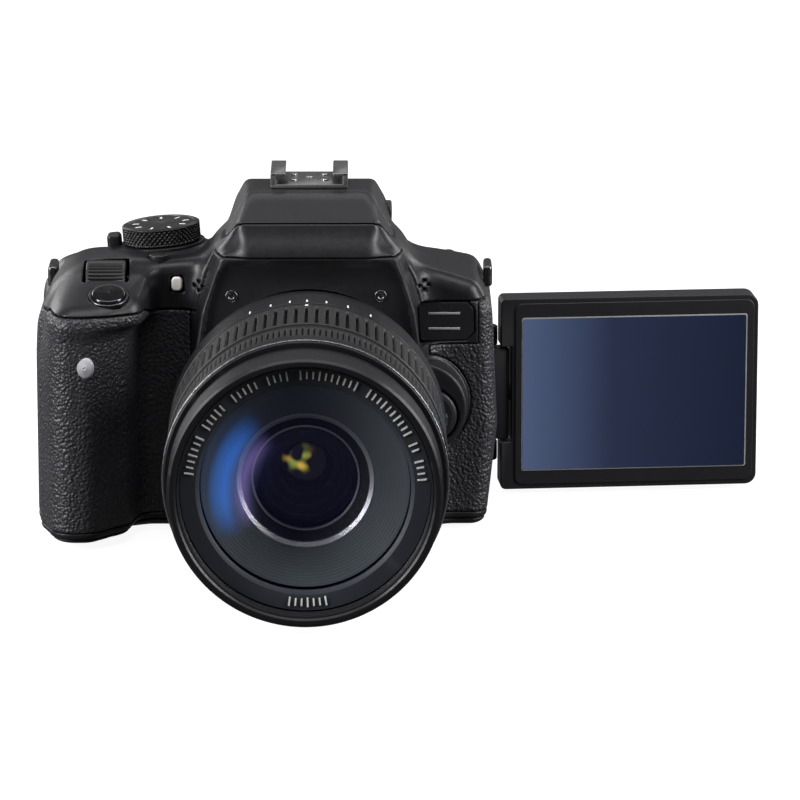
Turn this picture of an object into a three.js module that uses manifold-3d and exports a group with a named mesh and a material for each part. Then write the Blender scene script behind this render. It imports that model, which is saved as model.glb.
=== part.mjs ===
// Single-lens reflex camera with a zoom lens, a pop-up flash and a swivelling screen.
// Units are millimetres. X runs to the right of someone who faces the lens, -Y is the
// front, +Z is up. The origin is on the base plate, under the lens axis, in the plane
// of the image sensor.
import * as THREE from 'three';
import { mergeVertices } from 'three/addons/utils/BufferGeometryUtils.js';
import Module from 'manifold-3d';

const wasm = await Module();
wasm.setup();

// ---- Driving dimensions -------------------------------------------------------------
const GAP = 0.3;                  // clearance between neighbouring pieces
const WALL = 2;                   // thickness of the moulded covers
const SKIN = 1.1;                 // thickness of the rubber skins
const FAR = 300;                  // longer than anything here, for cutting boxes

const LEFT = -77.6;               // hand-grip side of the body
const RIGHT = 53.3;               // hinge side of the body
const FRONT = -30;                // front wall of the shoulders
const BACK = 15;                  // rear wall beside the screen
const SEAM = 64.2;                // joint between the top cover and the lower covers
const SPLIT = -9;                 // joint between the front and rear covers
const BASE_TOP = 3;               // joint between the base and the other covers

const AXIS_Z = 38.8;              // height of the lens axis
const FLANGE = -44;               // front face of the lens mount
const MOUNT_R = 33;
const THROAT_R = 27;
const LENS_FRONT = -140;          // filter ring
const FACE = -41.7;               // front wall around the lens mount

const GRIP_FRONT = -54;
const GRIP_TOP = 75;
const CAP_TILT = THREE.MathUtils.degToRad(20);   // slope under the shutter button
const CAP_POINT = [-45.2, 71.4];  // y, z of the shutter button's seat on that slope

const HUMP_TOP = 96.6;
const FLASH_Y = -20;              // rear end of the flash head, and its hinge
const SHOE_Y = [-17.5, 2.5];      // accessory shoe, front and rear

const RECESS = { left: -29.3, top: 59.2, floor: 7.6 };
const HINGE = [51, 13];           // x, y of the upright hinge of the screen
const PANEL = { near: 3.9, far: 79.4, bottom: 1.2, top: 58.2, half: 4.7 };
const PANEL_OPEN = THREE.MathUtils.degToRad(5);  // 175 degrees away from closed
const PANEL_Z = (PANEL.bottom + PANEL.top) / 2;

const DIAL = [-42, -8];           // x, y of the mode dial
const DIAL_TILT = THREE.MathUtils.degToRad(-4.5);  // the dial leans towards the grip
const DIAL_BASE = 78.3;           // height of the top cover under the dial

const BLACK = 0x141417;
const root = new THREE.Group();

// ---- Helpers: closed geometry to solid and back ---------------------------------------
function solid(geometry) {
  const plain = geometry.clone();
  plain.deleteAttribute('normal');
  plain.deleteAttribute('uv');
  const merged = mergeVertices(plain, 1e-4);
  const vertProperties = new Float32Array(merged.attributes.position.array);
  const triVerts = new Uint32Array(merged.index.array);
  return new wasm.Manifold(new wasm.Mesh({ numProp: 3, vertProperties, triVerts }));
}

function geometryOf(body) {
  const mesh = body.getMesh();
  const geometry = new THREE.BufferGeometry();
  geometry.setAttribute('position', new THREE.BufferAttribute(mesh.vertProperties, 3));
  geometry.setIndex(new THREE.BufferAttribute(mesh.triVerts, 1));
  geometry.computeVertexNormals();
  return geometry;
}

function piece(name, body, color = BLACK, roughness = 0.5, metalness = 0, parent = root) {
  const material = new THREE.MeshStandardMaterial({ color, roughness, metalness });
  const mesh = new THREE.Mesh(geometryOf(body), material);
  mesh.name = name;
  parent.add(mesh);
  return mesh;
}

// ---- Helpers: shapes --------------------------------------------------------------------
function box(x, y, z) {
  const geometry = new THREE.BoxGeometry(x[1] - x[0], y[1] - y[0], z[1] - z[0]);
  geometry.translate((x[0] + x[1]) / 2, (y[0] + y[1]) / 2, (z[0] + z[1]) / 2);
  return solid(geometry);
}

// Moves every edge of a convex outline inwards by `amount`.
function inset(corners, amount) {
  const count = corners.length;
  const lines = corners.map(([ax, ay], i) => {
    const [bx, by] = corners[(i + 1) % count];
    const length = Math.hypot(bx - ax, by - ay);
    const nx = -(by - ay) / length;
    const ny = (bx - ax) / length;
    return { nx, ny, c: nx * ax + ny * ay + amount };
  });
  return lines.map((line, i) => {
    const before = lines[(i + count - 1) % count];
    const det = before.nx * line.ny - line.nx * before.ny;
    return [
      (before.c * line.ny - line.c * before.ny) / det,
      (before.nx * line.c - line.nx * before.c) / det,
    ];
  });
}

// Outline with rounded corners; the corners run anticlockwise.
function outline(corners, radius = 0) {
  const points = [];
  const count = corners.length;
  corners.forEach((corner, i) => {
    const here = new THREE.Vector2(...corner);
    const before = new THREE.Vector2(...corners[(i + count - 1) % count]);
    const after = new THREE.Vector2(...corners[(i + 1) % count]);
    const wanted = Array.isArray(radius) ? radius[i] : radius;
    const reach = Math.min(wanted, here.distanceTo(before) / 2.05, here.distanceTo(after) / 2.05);
    if (reach < 0.05) {
      points.push(here);
      return;
    }
    const start = here.clone().add(before.sub(here).setLength(reach));
    const end = here.clone().add(after.sub(here).setLength(reach));
    points.push(...new THREE.QuadraticBezierCurve(start, here, end).getPoints(4));
  });
  return new THREE.Shape(points);
}

// Extrudes a shape along one axis. The shape is drawn in (x, z) for 'y', (x, y) for 'z'
// and (y, z) for 'x'.
function prism(shape, along, from, to) {
  const geometry = new THREE.ExtrudeGeometry(shape, { depth: to - from, bevelEnabled: false });
  const X = new THREE.Vector3(1, 0, 0);
  const Y = new THREE.Vector3(0, 1, 0);
  const Z = new THREE.Vector3(0, 0, 1);
  const bases = { x: [Y, Z, X], y: [X, Z, Y.clone().negate()], z: [X, Y, Z] };
  const starts = { x: [from, 0, 0], y: [0, to, 0], z: [0, 0, from] };
  geometry.applyMatrix4(new THREE.Matrix4().makeBasis(...bases[along]));
  geometry.translate(...starts[along]);
  return solid(geometry);
}

function rod(along, centre, radius, from, to, sides = 24) {
  const [u, v] = centre;
  const shape = new THREE.Shape();
  for (let i = 0; i < sides; i += 1) {
    const angle = (i / sides) * Math.PI * 2;
    const x = u + radius * Math.cos(angle);
    const y = v + radius * Math.sin(angle);
    if (i === 0) shape.moveTo(x, y);
    else shape.lineTo(x, y);
  }
  shape.closePath();
  return prism(shape, along, from, to);
}

const lensRod = (radius, from, to, sides = 48) => rod('y', [0, AXIS_Z], radius, from, to, sides);

// Turned part about the lens axis. The profile is a closed loop of [radius, y] points.
function turned(profile, sides = 48) {
  const loop = [...profile, profile[0]].map(([r, y]) => new THREE.Vector2(r, y));
  const geometry = new THREE.LatheGeometry(loop, sides);
  geometry.translate(0, 0, AXIS_Z);
  const body = solid(geometry);
  return body.volume() > 0 ? body : solid(flipped(geometry));
}

function flipped(geometry) {
  const copy = geometry.clone();
  const index = copy.index.array;
  for (let i = 0; i < index.length; i += 3) {
    [index[i], index[i + 1]] = [index[i + 1], index[i]];
  }
  return copy;
}

// Turns a solid about an axis through a point.
function turn(body, axis, angle, point = [0, 0, 0]) {
  const away = point.map((value) => -value);
  const geometry = geometryOf(body);
  geometry.translate(...away);
  geometry.applyMatrix4(new THREE.Matrix4().makeRotationAxis(new THREE.Vector3(...axis), angle));
  geometry.translate(...point);
  return solid(geometry);
}

// Leans a piece of the mode dial group about the dial's foot.
const leaning = (body) => turn(body, [0, 1, 0], DIAL_TILT, [...DIAL, DIAL_BASE]);

// ---- The body as one thick-walled form, later cut into its covers -----------------------
const mainCorners = [[LEFT, 0], [50, 0], [RIGHT, 30], [RIGHT - 1.5, 64], [47, 73], [26, 78.5], [-28, 79.5],
  [LEFT + 9, 75.6], [LEFT, 64]];
const mainRadii = [5, 5, 8, 6, 8, 8, 8, 8, 6];
const gripCorners = [[LEFT, -8], [LEFT, -40], [-70, GRIP_FRONT], [-57, GRIP_FRONT], [-49.5, -46], [-47.5, -26],
  [-47.5, -8]];
const gripRadii = [1, 10, 6, 6, 6, 1, 1];
const mountCorners = [[-31, 2], [31, 2], [27, 82.2], [-28, 82.2]];
const humpCorners = [[-27.5, 60], [27.5, 60], [25, 80], [17.5, HUMP_TOP], [-17.5, HUMP_TOP], [-25, 80]];
const humpSide = [[18, 64], [18, 88], [10, HUMP_TOP], [-24, HUMP_TOP], [-40, 91], [-43.5, 81.6], [-24, 81.6],
  [-24, 64]];
const RELEASE = [31.5, 37.4];     // centre of the lens release housing

function bodyForm(t) {
  const main = prism(outline(inset(mainCorners, t), mainRadii), 'y', FRONT + t, BACK - t);
  const grip = prism(outline(inset(gripCorners, t), gripRadii), 'z', 0.4 + t, GRIP_TOP - t);
  const mount = prism(outline(inset(mountCorners, t), 3), 'y', FACE + t, -20);
  const front = prism(outline(inset(humpCorners, t), 4), 'y', -60, 40);
  const side = prism(humpProfile(t), 'x', -40, 40);
  const hump = front.intersect(side);
  const post = leaning(rod('z', DIAL, 9.6 - t, 60, DIAL_BASE + 1.6 - t));
  const release = rod('y', RELEASE, 13 - t, -39.5 + t, -25, 32);
  const recess = box([RECESS.left - t, FAR], [RECESS.floor - t, FAR], [-FAR, RECESS.top + t]);
  const slope = turn(
    box([-FAR, -46], [-FAR, 11], [0, FAR]), [1, 0, 0], CAP_TILT, [0, 0, 0],
  ).translate([0, CAP_POINT[0], CAP_POINT[1] - t / Math.cos(CAP_TILT)]);
  return main.add(grip.subtract(slope)).add(mount).add(hump).add(post).add(release).subtract(recess);
}

// Side view of the viewfinder hump; it is not convex, so its wall is set by hand.
function humpProfile(t) {
  const lip = t > 0 ? 78 : 81.6;
  const points = humpSide.map(([y, z]) => {
    const inY = y > 0 ? y - t : Math.max(y, -43.5 + t * 1.2);
    const inZ = z > 64 ? z - t : z;
    return [inY, Math.abs(z - 81.6) < 1e-6 ? lip : inZ];
  });
  return outline(points, 0);
}
const outer = bodyForm(0);
const hollow = bodyForm(WALL);
const shell = outer.subtract(hollow);
const skinned = outer.subtract(bodyForm(SKIN));
const bedded = outer.subtract(bodyForm(SKIN + GAP));

// Regions of the covers.
const lowFront = box([-FAR, FAR], [-FAR, SPLIT - GAP / 2], [BASE_TOP + GAP, SEAM - GAP]);
const mountFront = box([-32, 32], [-FAR, -33], [BASE_TOP + GAP, 77.2]);
const mountFrontLoose = box([-32.4, 32.4], [-FAR, -32.6], [-1, 77.5]);
const lowRear = box([-FAR, FAR], [SPLIT + GAP / 2, FAR], [BASE_TOP + GAP, SEAM - GAP]);
const lowest = box([-FAR, FAR], [-FAR, FAR], [-FAR, BASE_TOP]);
const upper = box([-FAR, FAR], [-FAR, FAR], [SEAM, FAR]);

// ---- Covers and skins -------------------------------------------------------------------
const gripSkinZone = box([-FAR, -33], [-FAR, -12], [5, 62.5]).subtract(box([-41, -32], [-FAR, -12], [0, 9]));
const sideSkinZone = box([33.5, FAR], [-FAR, -20], [5, 51.5]).subtract(rod('y', RELEASE, 13.4, -60, 0, 32));
const throat = lensRod(THROAT_R + GAP, -60, -30);
const ringSeat = lensRod(MOUNT_R + GAP, -60, FACE);
const button = (x, z, r) => rod('y', [x, z], r + 0.4, -60, -20, 20);
const RELEASE_BUTTON = [35.2, 35.3];
const remoteWindow = rod('y', [-62.7, 51.6], 2.9, -70, -45, 16);
const lamp = box([-39, -35.4], [-60, -20], [67.8, 72.6]);
const badgeZone = box([30, 45], [-60, FRONT + 0.9], [53.5, 63]);
const LOCK_PIN = [30.2, AXIS_Z];

const terminalZone = (g) => box([48, FAR], [-19 + g, 3 - 2.5 * g], [12 + g, 52 - g]);
const cardZone = (g) => box([-FAR, -75], [-6 + g, 11 - g], [16 + g, 50 - g]);

const frontCover = shell.intersect(lowFront.add(mountFront))
  .subtract(throat).subtract(ringSeat)
  .subtract(bedded.intersect(gripSkinZone.add(sideSkinZone)))
  .subtract(button(...RELEASE_BUTTON, 6.4).subtract(lensRod(33.2, -60, 0)))
  .subtract(rod('y', LOCK_PIN, 1.6, -60, 0, 12))
  .subtract(badgeZone).subtract(terminalZone(0))
  .subtract(remoteWindow);
piece('front_cover', frontCover);

const gripRubber = skinned.intersect(gripSkinZone)
  .intersect(box([-FAR, -33 - GAP], [-FAR, -12 - GAP], [5 + GAP, 62.5 - GAP])
    .subtract(box([-41 - GAP, -32], [-FAR, -12], [0, 9 + GAP])))
  .subtract(mountFrontLoose).subtract(remoteWindow);
piece('grip_rubber', gripRubber, 0x101012, 0.75);

const sideRubber = skinned.intersect(sideSkinZone)
  .intersect(box([33.5 + GAP, FAR], [-FAR, -20 - GAP], [5 + GAP, 51.5 - GAP]))
  .subtract(rod('y', RELEASE, 13.7, -60, 0, 32)).subtract(mountFrontLoose);
piece('side_rubber', sideRubber, 0x101012, 0.75);

const SCREEN_KNUCKLES = [[9.7, 15.4], [44, 49.7]];

let rearCover = shell.intersect(lowRear)
  .subtract(terminalZone(0)).subtract(cardZone(0));
SCREEN_KNUCKLES.forEach((span) => {
  const barrel = rod('z', HINGE, 3.3, ...span, 16);
  rearCover = rearCover.add(barrel.add(box([47.9, 51.8], [6, 13], span)).subtract(rod('z', HINGE, 1.5, ...span, 12)));
});
rearCover = rearCover.add(box([45, 51.8], [5.7, 7.6], [9.7, 49.7]));

piece('terminal_door', shell.intersect(terminalZone(GAP)), 0x18181b, 0.6);
piece('card_door', shell.intersect(cardZone(GAP)), 0x18181b, 0.5);

const batteryZone = (g) => box([-74 + g, -56 - g], [-46.5 + g, -12 - g], [-1, 10]);
const SOCKET_Y = -15;
const baseCover = shell.intersect(lowest).subtract(batteryZone(0))
  .subtract(rod('z', [0, SOCKET_Y], 8 + GAP, -1, 5));
piece('base_cover', baseCover);
piece('battery_door', shell.intersect(batteryZone(GAP)).intersect(box([-FAR, 0], [-FAR, FAR], [0.4, 2.4])));

const socket = rod('z', [0, SOCKET_Y], 8, 0.3, 8, 32).subtract(rod('z', [0, SOCKET_Y], 3.2, -1, 7));
piece('tripod_socket', socket, 0x9a9a9e, 0.35, 1);

// ---- Top cover, flash head and accessory shoe -------------------------------------------
const flashZone = (g) => prism(outline([[-60, 90.3 - g], [-41, 90.3 - g], [-31, 84.6 - g],
  [FLASH_Y + g, 84.6 - g], [FLASH_Y + g, 120], [-60, 120]]), 'x', -40, 40);
const MAIN_DIAL = [-30, 69.6];    // y, z of the main dial's shaft
const dialSlot = rod('x', MAIN_DIAL, 9.2, -63.4, -50.6);
const capHole = turn(rod('z', [-55.7, 0], 5, -8, 8), [1, 0, 0], CAP_TILT)
  .translate([0, CAP_POINT[0], CAP_POINT[1]]);

const TOP_BUTTONS = { iso_button: [-42.5, -25.2, 2.6] };
const REAR_TOP_BUTTONS = {
  live_view_button: [-28.5, 69, 2.8],
  menu_button: [40, 69, 2.8],
  info_button: [32.5, 69, 2.8],
};
const REAR_BUTTONS = { playback_button: [-37.5, 14, 2.9], erase_button: [-52, 11.5, 2.9] };
const CROSS = [-52, 33];

let topCover = shell.intersect(upper).subtract(mountFrontLoose).subtract(flashZone(GAP))
  .subtract(dialSlot).subtract(capHole)
  .subtract(lamp)
  .subtract(box([-13, 13], [10, 30], [71, 87]))
  .subtract(leaning(rod('z', DIAL, 2.3, 60, 90, 12)));
Object.values(TOP_BUTTONS).forEach(([x, y, r]) => {
  topCover = topCover.subtract(rod('z', [x, y], r + 0.4, 70, 90, 16));
});
Object.values(REAR_TOP_BUTTONS).forEach(([x, z, r]) => {
  topCover = topCover.subtract(rod('y', [x, z], r + 0.4, 9, 30, 16));
});
Object.values(REAR_BUTTONS).forEach(([x, z, r]) => {
  rearCover = rearCover.subtract(rod('y', [x, z], r + 0.4, 9, 30, 16));
});
rearCover = rearCover.subtract(rod('y', CROSS, 12.4, 9, 30));
topCover = topCover.subtract(rod('x', [11, 84], 3.6, 15, 40, 16));
const flashWell = box([-23, 23], [-40, FLASH_Y + 1.4], [82.2, 83.9])
  .add(box([-21, 21], [FLASH_Y + GAP, FLASH_Y + 1.4], [82.2, 95.5]));
topCover = topCover.add(flashWell.intersect(outer));
piece('rear_cover', rearCover);

const flashHead = shell.intersect(flashZone(0));
piece('flash_head', flashHead);
const flashWindow = hollow.intersect(flashZone(0))
  .intersect(box([-14, 14], [-37.5, -26], [85, 91]))
  .intersect(prism(outline([[-37.5, 88.9], [-26, 88.9], [-26, 90.4], [-37.5, 90.4]]), 'x', -14, 14));
piece('flash_window', flashWindow, 0xd8d8d0, 0.2);

const shoeSeat = box([-11.3, 11.3], [SHOE_Y[0] - GAP, SHOE_Y[1] + GAP], [HUMP_TOP - 0.6, 110]);
topCover = topCover.subtract(shoeSeat);
piece('top_cover', topCover);

const shoeWall = (side) => box([side > 0 ? 9.5 : -11, side > 0 ? 11 : -9.5], SHOE_Y, [96.3, 100.7])
  .add(box([side > 0 ? 6.6 : -11, side > 0 ? 11 : -6.6], SHOE_Y, [99.7, 100.7]));
const shoeRails = box([-11, 11], SHOE_Y, [96.3, 97.4]).add(shoeWall(1)).add(shoeWall(-1));
piece('shoe_rails', shoeRails, 0x8e8e92, 0.35, 1);
piece('shoe_contacts', box([-5.6, 5.6], [-14, 0], [97.7, 98.3]), 0x1a1a1c, 0.5);

// ---- Lens mount, mirror box and viewfinder ---------------------------------------------
const ringRod = (r, a, b) => lensRod(r, a, b, 48);
const lensMount = ringRod(MOUNT_R, FLANGE, FACE - GAP).subtract(ringRod(THROAT_R, -60, -30))
  .subtract(rod('y', LOCK_PIN, 1.6, -60, 0, 12));
piece('lens_mount', lensMount, 0xb8b8bc, 0.3, 1);
piece('lens_lock_pin', rod('y', LOCK_PIN, 1.25, FLANGE - 1.5, -33, 12), 0xb8b8bc, 0.3, 1);

const releaseCut = lensRod(33.8, -60, 0);
const releaseButton = rod('y', RELEASE_BUTTON, 6.4, -41, -35.5, 28).subtract(releaseCut);
piece('lens_release_button', releaseButton, 0x1a1a1d, 0.45);

const mirrorBox = box([-23, 23], [-39.2, -5.8], [13.3, 63]).subtract(box([-20.5, 20.5], [-60, 0], [16, 60.8]))
  .subtract(box([-14, 14], [-35, -10], [50, 70]));
piece('mirror_box', mirrorBox.subtract(rod('y', LOCK_PIN, 1.6, -60, 0, 12)), 0x0c0c0d, 0.8);
piece('focusing_screen', box([-13.6, 13.6], [-34.6, -10.4], [61, 62.2]), 0xc8ccd0, 0.3);

const prismSide = outline([[-18, 64], [6, 64], [10, 74], [6, 87], [-10, 93], [-18, 87]]);
const prismFront = outline([[-15, 60], [15, 60], [15, 82], [4, 94.2], [-4, 94.2], [-15, 82]]);
piece('prism_block', prism(prismSide, 'x', -30, 30).intersect(prism(prismFront, 'y', -60, 40)), 0xa0a4a8, 0.2);

const MIRROR_PIN = [-9, 49.5];    // y, z of the mirror's hinge
const mirrorPlate = turn(
  box([-13, 13], [-25.5, 0], [-1.1, 0]).translate([0, ...MIRROR_PIN]),
  [1, 0, 0], Math.PI / 4, [0, ...MIRROR_PIN],
);
piece('reflex_mirror', mirrorPlate, 0xd0d4d8, 0.05, 1);

const shutterFrame = box([-20, 20], [-5.2, -3], [20, 62]).subtract(box([-12.5, 12.5], [-9, 0], [30, 47.6]));
piece('shutter_frame', shutterFrame, 0x1c1c1e, 0.5, 1);
piece('shutter_curtain', box([-14, 14], [-2.6, -1.8], [28.8, 48.8]), 0x202023, 0.4, 1);
const sensor = box([-11.4, 11.4], [0, 2.2], [31.2, 46.4]).add(box([-19, 19], [2, 3], [22, 57]));
piece('image_sensor', sensor, 0x2a3a48, 0.2);
piece('main_board', box([-24, 43], [3.6, 4.8], [10, 60]), 0x1e4a2c, 0.6);
piece('eyepiece_lens', box([-11.5, 11.5], [13, 15], [72.5, 85.5]), 0x30343a, 0.1);

const eyecupOuter = prism(outline([[-20, 67], [20, 67], [20, 91], [-20, 91]], 8), 'y', 18 + GAP, 24);
const eyecupInner = prism(outline([[-12.6, 71.4], [12.6, 71.4], [12.6, 86.6], [-12.6, 86.6]], 4), 'y', 0, 40);
piece('eyecup', eyecupOuter.subtract(eyecupInner), 0x121214, 0.85);
piece('diopter_knob', rod('x', [11, 84], 3.2, 19.6, 24, 16), 0x18181b, 0.6);

// ---- Battery, card, windows and lugs ------------------------------------------------------
piece('battery', box([-72, -58], [-46, -13], [4, 49.4]), 0x2a2a2e, 0.6);
piece('memory_card', box([-71, -39], [1, 3.1], [20.5, 44.5]), 0x1f3f8a, 0.5);
piece('remote_window', rod('y', [-62.7, 51.6], 2.5, GRIP_FRONT - 0.1, GRIP_FRONT + WALL, 16), 0xb9b6bc, 0.35);
piece('af_lamp', box([-38.7, -35.7], [FRONT - 0.4, FRONT + WALL], [68.1, 72.3]), 0xe4dfc0, 0.3);
piece('badge_plate', outer.intersect(box([30.3, 44.7], [-60, FRONT + 0.6], [53.8, 62.7]))
  .subtract(mountFrontLoose), 0x1a1a1e, 0.3);

function strapLug(side) {
  const x = side > 0 ? RIGHT - 1.2 : LEFT + 0.8;
  const post = box([x - 0.2, x + 0.2].map((value) => value + side * 1.4), [-3, 1], [66.5, 70.5]);
  const plate = box(side > 0 ? [x + 0.6, x + 2.6] : [x - 2.6, x - 0.6], [-7, 5], [65.4, 71.6]);
  const slot = box([x - 20, x + 20], [-5, 3], [67.4, 69.6]);
  return plate.add(post).subtract(slot);
}
piece('strap_lug_left', strapLug(-1).subtract(bodyForm(-GAP)), 0x9a9a9e, 0.35, 1);
piece('strap_lug_right', strapLug(1).subtract(bodyForm(-GAP)), 0x9a9a9e, 0.35, 1);

// ---- Controls on the body ------------------------------------------------------------------
const shutterButton = turn(rod('z', [-55.7, 0], 4.3, -3.5, 1.6), [1, 0, 0], CAP_TILT)
  .translate([0, CAP_POINT[0], CAP_POINT[1]]);
piece('shutter_button', shutterButton, 0x050506, 0.15);

const mainDial = rod('x', MAIN_DIAL, 8.6, -62.6, -51.4, 28);
piece('main_dial', mainDial, 0x1b1b1e, 0.4);

const LEVER_Z = [DIAL_BASE + 0.4, DIAL_BASE + 1.8];
const leverRing = rod('z', DIAL, 12.4, ...LEVER_Z, 32).subtract(rod('z', DIAL, 10, 0, 90));
const leverNub = box([DIAL[0] - 15.4, DIAL[0] - 11.7], [DIAL[1] - 2.6, DIAL[1] + 2.6], [LEVER_Z[0], LEVER_Z[1] + 2]);
piece('power_lever', leaning(leverRing.add(leverNub)), 0x1d1d20, 0.5);
const modeDial = rod('z', DIAL, 11.1, DIAL_BASE + 2.1, DIAL_BASE + 6.5, 36)
  .add(rod('z', DIAL, 1.9, DIAL_BASE - 4, DIAL_BASE + 3, 12));
piece('mode_dial', leaning(modeDial), 0x17171a, 0.45);

Object.entries(TOP_BUTTONS).forEach(([name, [x, y, r]]) => {
  piece(name, rod('z', [x, y], r, 75, 79, 16), 0x1d1d20, 0.5);
});
Object.entries(REAR_TOP_BUTTONS).forEach(([name, [x, z, r]]) => {
  piece(name, rod('y', [x, z], r, 12, 16, 16), 0x1d1d20, 0.5);
});
Object.entries(REAR_BUTTONS).forEach(([name, [x, z, r]]) => {
  piece(name, rod('y', [x, z], r, 12, 16, 16), 0x1d1d20, 0.5);
});
const crossKeys = rod('y', CROSS, 12, 12, 16, 32).subtract(rod('y', CROSS, 6.4, 0, 30, 20));
piece('cross_keys', crossKeys, 0x1a1a1d, 0.5);
piece('set_button', rod('y', CROSS, 6, 12, 16.2, 20), 0x1d1d20, 0.45);

// ---- Swivelling screen ----------------------------------------------------------------------
// The panel is drawn along +X from its upright hinge, then the group turns it to the open pose.
const screen = new THREE.Group();
screen.position.set(HINGE[0], HINGE[1], 0);
screen.rotation.z = PANEL_OPEN;
root.add(screen);

const ARM_HALF = 13.7;
const armBarrel = rod('z', [0, 0], 3.3, PANEL_Z - ARM_HALF, PANEL_Z + ARM_HALF, 16);
const armBlock = box([0, 6.6], [-3, 3], [PANEL_Z - ARM_HALF + 1.4, PANEL_Z + ARM_HALF - 1.4]);
const armShaft = rod('x', [0, PANEL_Z], 2.4, 3, 14, 16);
piece('screen_arm', armBarrel.add(armBlock).add(armShaft), 0x1b1b1e, 0.5, 0, screen);

const panelOutline = outline([[PANEL.near, PANEL.bottom], [PANEL.far, PANEL.bottom], [PANEL.far, PANEL.top],
  [PANEL.near, PANEL.top]], 3.4);
const notch = box([0, 7], [-10, 10], [PANEL_Z - ARM_HALF - 0.5, PANEL_Z + ARM_HALF + 0.5]);
const SCREEN_X = [9.8, 76.2];
const SCREEN_Z = [PANEL_Z - 23, PANEL_Z + 23];
const glassSeat = box([SCREEN_X[0] - GAP, SCREEN_X[1] + GAP], [-FAR, -PANEL.half + 1.4],
  [SCREEN_Z[0] - GAP, SCREEN_Z[1] + GAP]);
const screenCase = prism(panelOutline, 'y', -PANEL.half, PANEL.half).subtract(notch).subtract(glassSeat)
  .subtract(rod('x', [0, PANEL_Z], 2.8, 0, 14.6, 16));
piece('screen_case', screenCase, 0x1b1b1f, 0.45, 0, screen);
piece('screen_glass', box(SCREEN_X, [-PANEL.half + 0.2, -PANEL.half + 1.1], SCREEN_Z), 0x1d2c4c, 0.1, 0, screen);

// ---- Lens ---------------------------------------------------------------------------------------
const SLEEVE = { inner: 31.6, outer: 34.3 };
const lockGroove = lensRod(31.9, FLANGE - 2.2, FLANGE + 1).subtract(lensRod(28.5, -60, 0))
  .intersect(rod('y', [0, AXIS_Z], 60, -60, 0, 48)
    .intersect(prism(outline([[0, AXIS_Z], [-10, AXIS_Z - 60], [60, AXIS_Z - 60], [60, AXIS_Z + 4]]), 'y', -60, 0)));
const barrelProfile = [[26.6, -40], [26.6, FLANGE - GAP], [MOUNT_R, FLANGE - GAP], [33.6, -50], [36.6, -60],
  [38.2, -68], [38.2, -80], [SLEEVE.outer, -80], [SLEEVE.outer, -118], [38, -118], [38, -125.6],
  [SLEEVE.inner, -125.6], [SLEEVE.inner, -52], [24.6, -50], [24.6, -40]];
piece('lens_barrel', turned(barrelProfile.reverse()).subtract(lockGroove)
  .subtract(box([30, 45], [-79, -54], [AXIS_Z - 9, AXIS_Z + 9]).intersect(lensRod(60, -80, -50).subtract(
    lensRod(36.4, -80, -50)))), 0x151518, 0.45);

const RIBS = 60;
const ribbed = (from, to, radius) => lensRod(radius, from, to, RIBS);
const zoomRing = ribbed(-104, -80.3, 38.2).add(ribbed(-106.5, -103.9, 37.4))
  .subtract(lensRod(SLEEVE.outer + GAP, -130, -60));
piece('zoom_ring', zoomRing, 0x101012, 0.7);
piece('focus_ring', ribbed(-117.6, -106.9, 37.9).subtract(lensRod(SLEEVE.outer + GAP, -130, -60)), 0x101012, 0.7);

const innerProfile = [[36, LENS_FRONT], [36.4, -138], [36.4, -126], [SLEEVE.inner - 0.4, -126],
  [SLEEVE.inner - 0.4, -84], [28.6, -84], [28.6, -129], [28.4, -132.6], [33.5, -132.6],
  [33.5, LENS_FRONT]];
piece('inner_barrel', turned(innerProfile), 0x131315, 0.4);
piece('name_ring', turned([[28.5, -134.6], [33.1, -134.6], [33.1, -133], [28.5, -133]].reverse()), 0x1c1c20, 0.5);

const glassFront = [];
for (let i = 0; i <= 6; i += 1) {
  const radius = (28 * i) / 6;
  glassFront.push([radius, -135.6 + 3.6 * (radius / 28) ** 2]);
}
const frontElement = solid(new THREE.LatheGeometry(
  [new THREE.Vector2(0, -130.8), new THREE.Vector2(22, -131), ...glassFront.reverse()
    .map(([r, y]) => new THREE.Vector2(r, y))].reverse(), 48,
).translate(0, 0, AXIS_Z));
piece('front_element', frontElement.volume() > 0 ? frontElement : frontElement.mirror([1, 0, 0]), 0x20305a, 0.05);
piece('middle_lens_group', turned([[0, -98], [28, -98], [28, -90], [0, -90]]), 0x28303c, 0.1);
piece('rear_lens_group', turned([[0, -60], [24, -60], [24, -53], [0, -53]]), 0x28303c, 0.1);

const SWITCH_X = 36.8;
piece('focus_mode_switch', box([SWITCH_X, SWITCH_X + 1.6], [-74, -70.5], [AXIS_Z + 2, AXIS_Z + 5]), 0x222226, 0.5);
piece('stabiliser_switch', box([SWITCH_X, SWITCH_X + 1.6], [-74, -70.5], [AXIS_Z - 5, AXIS_Z - 2]), 0x222226, 0.5);

export default root;
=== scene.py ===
"""Looks of the camera: moulded covers, rubber skins, lens, screen, controls, studio.

Lengths in this script are in millimetres until a mesh is made; MM turns them into metres.
"""
import math

import bmesh
import bpy
import numpy as np
from mathutils import Matrix, Vector


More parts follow.
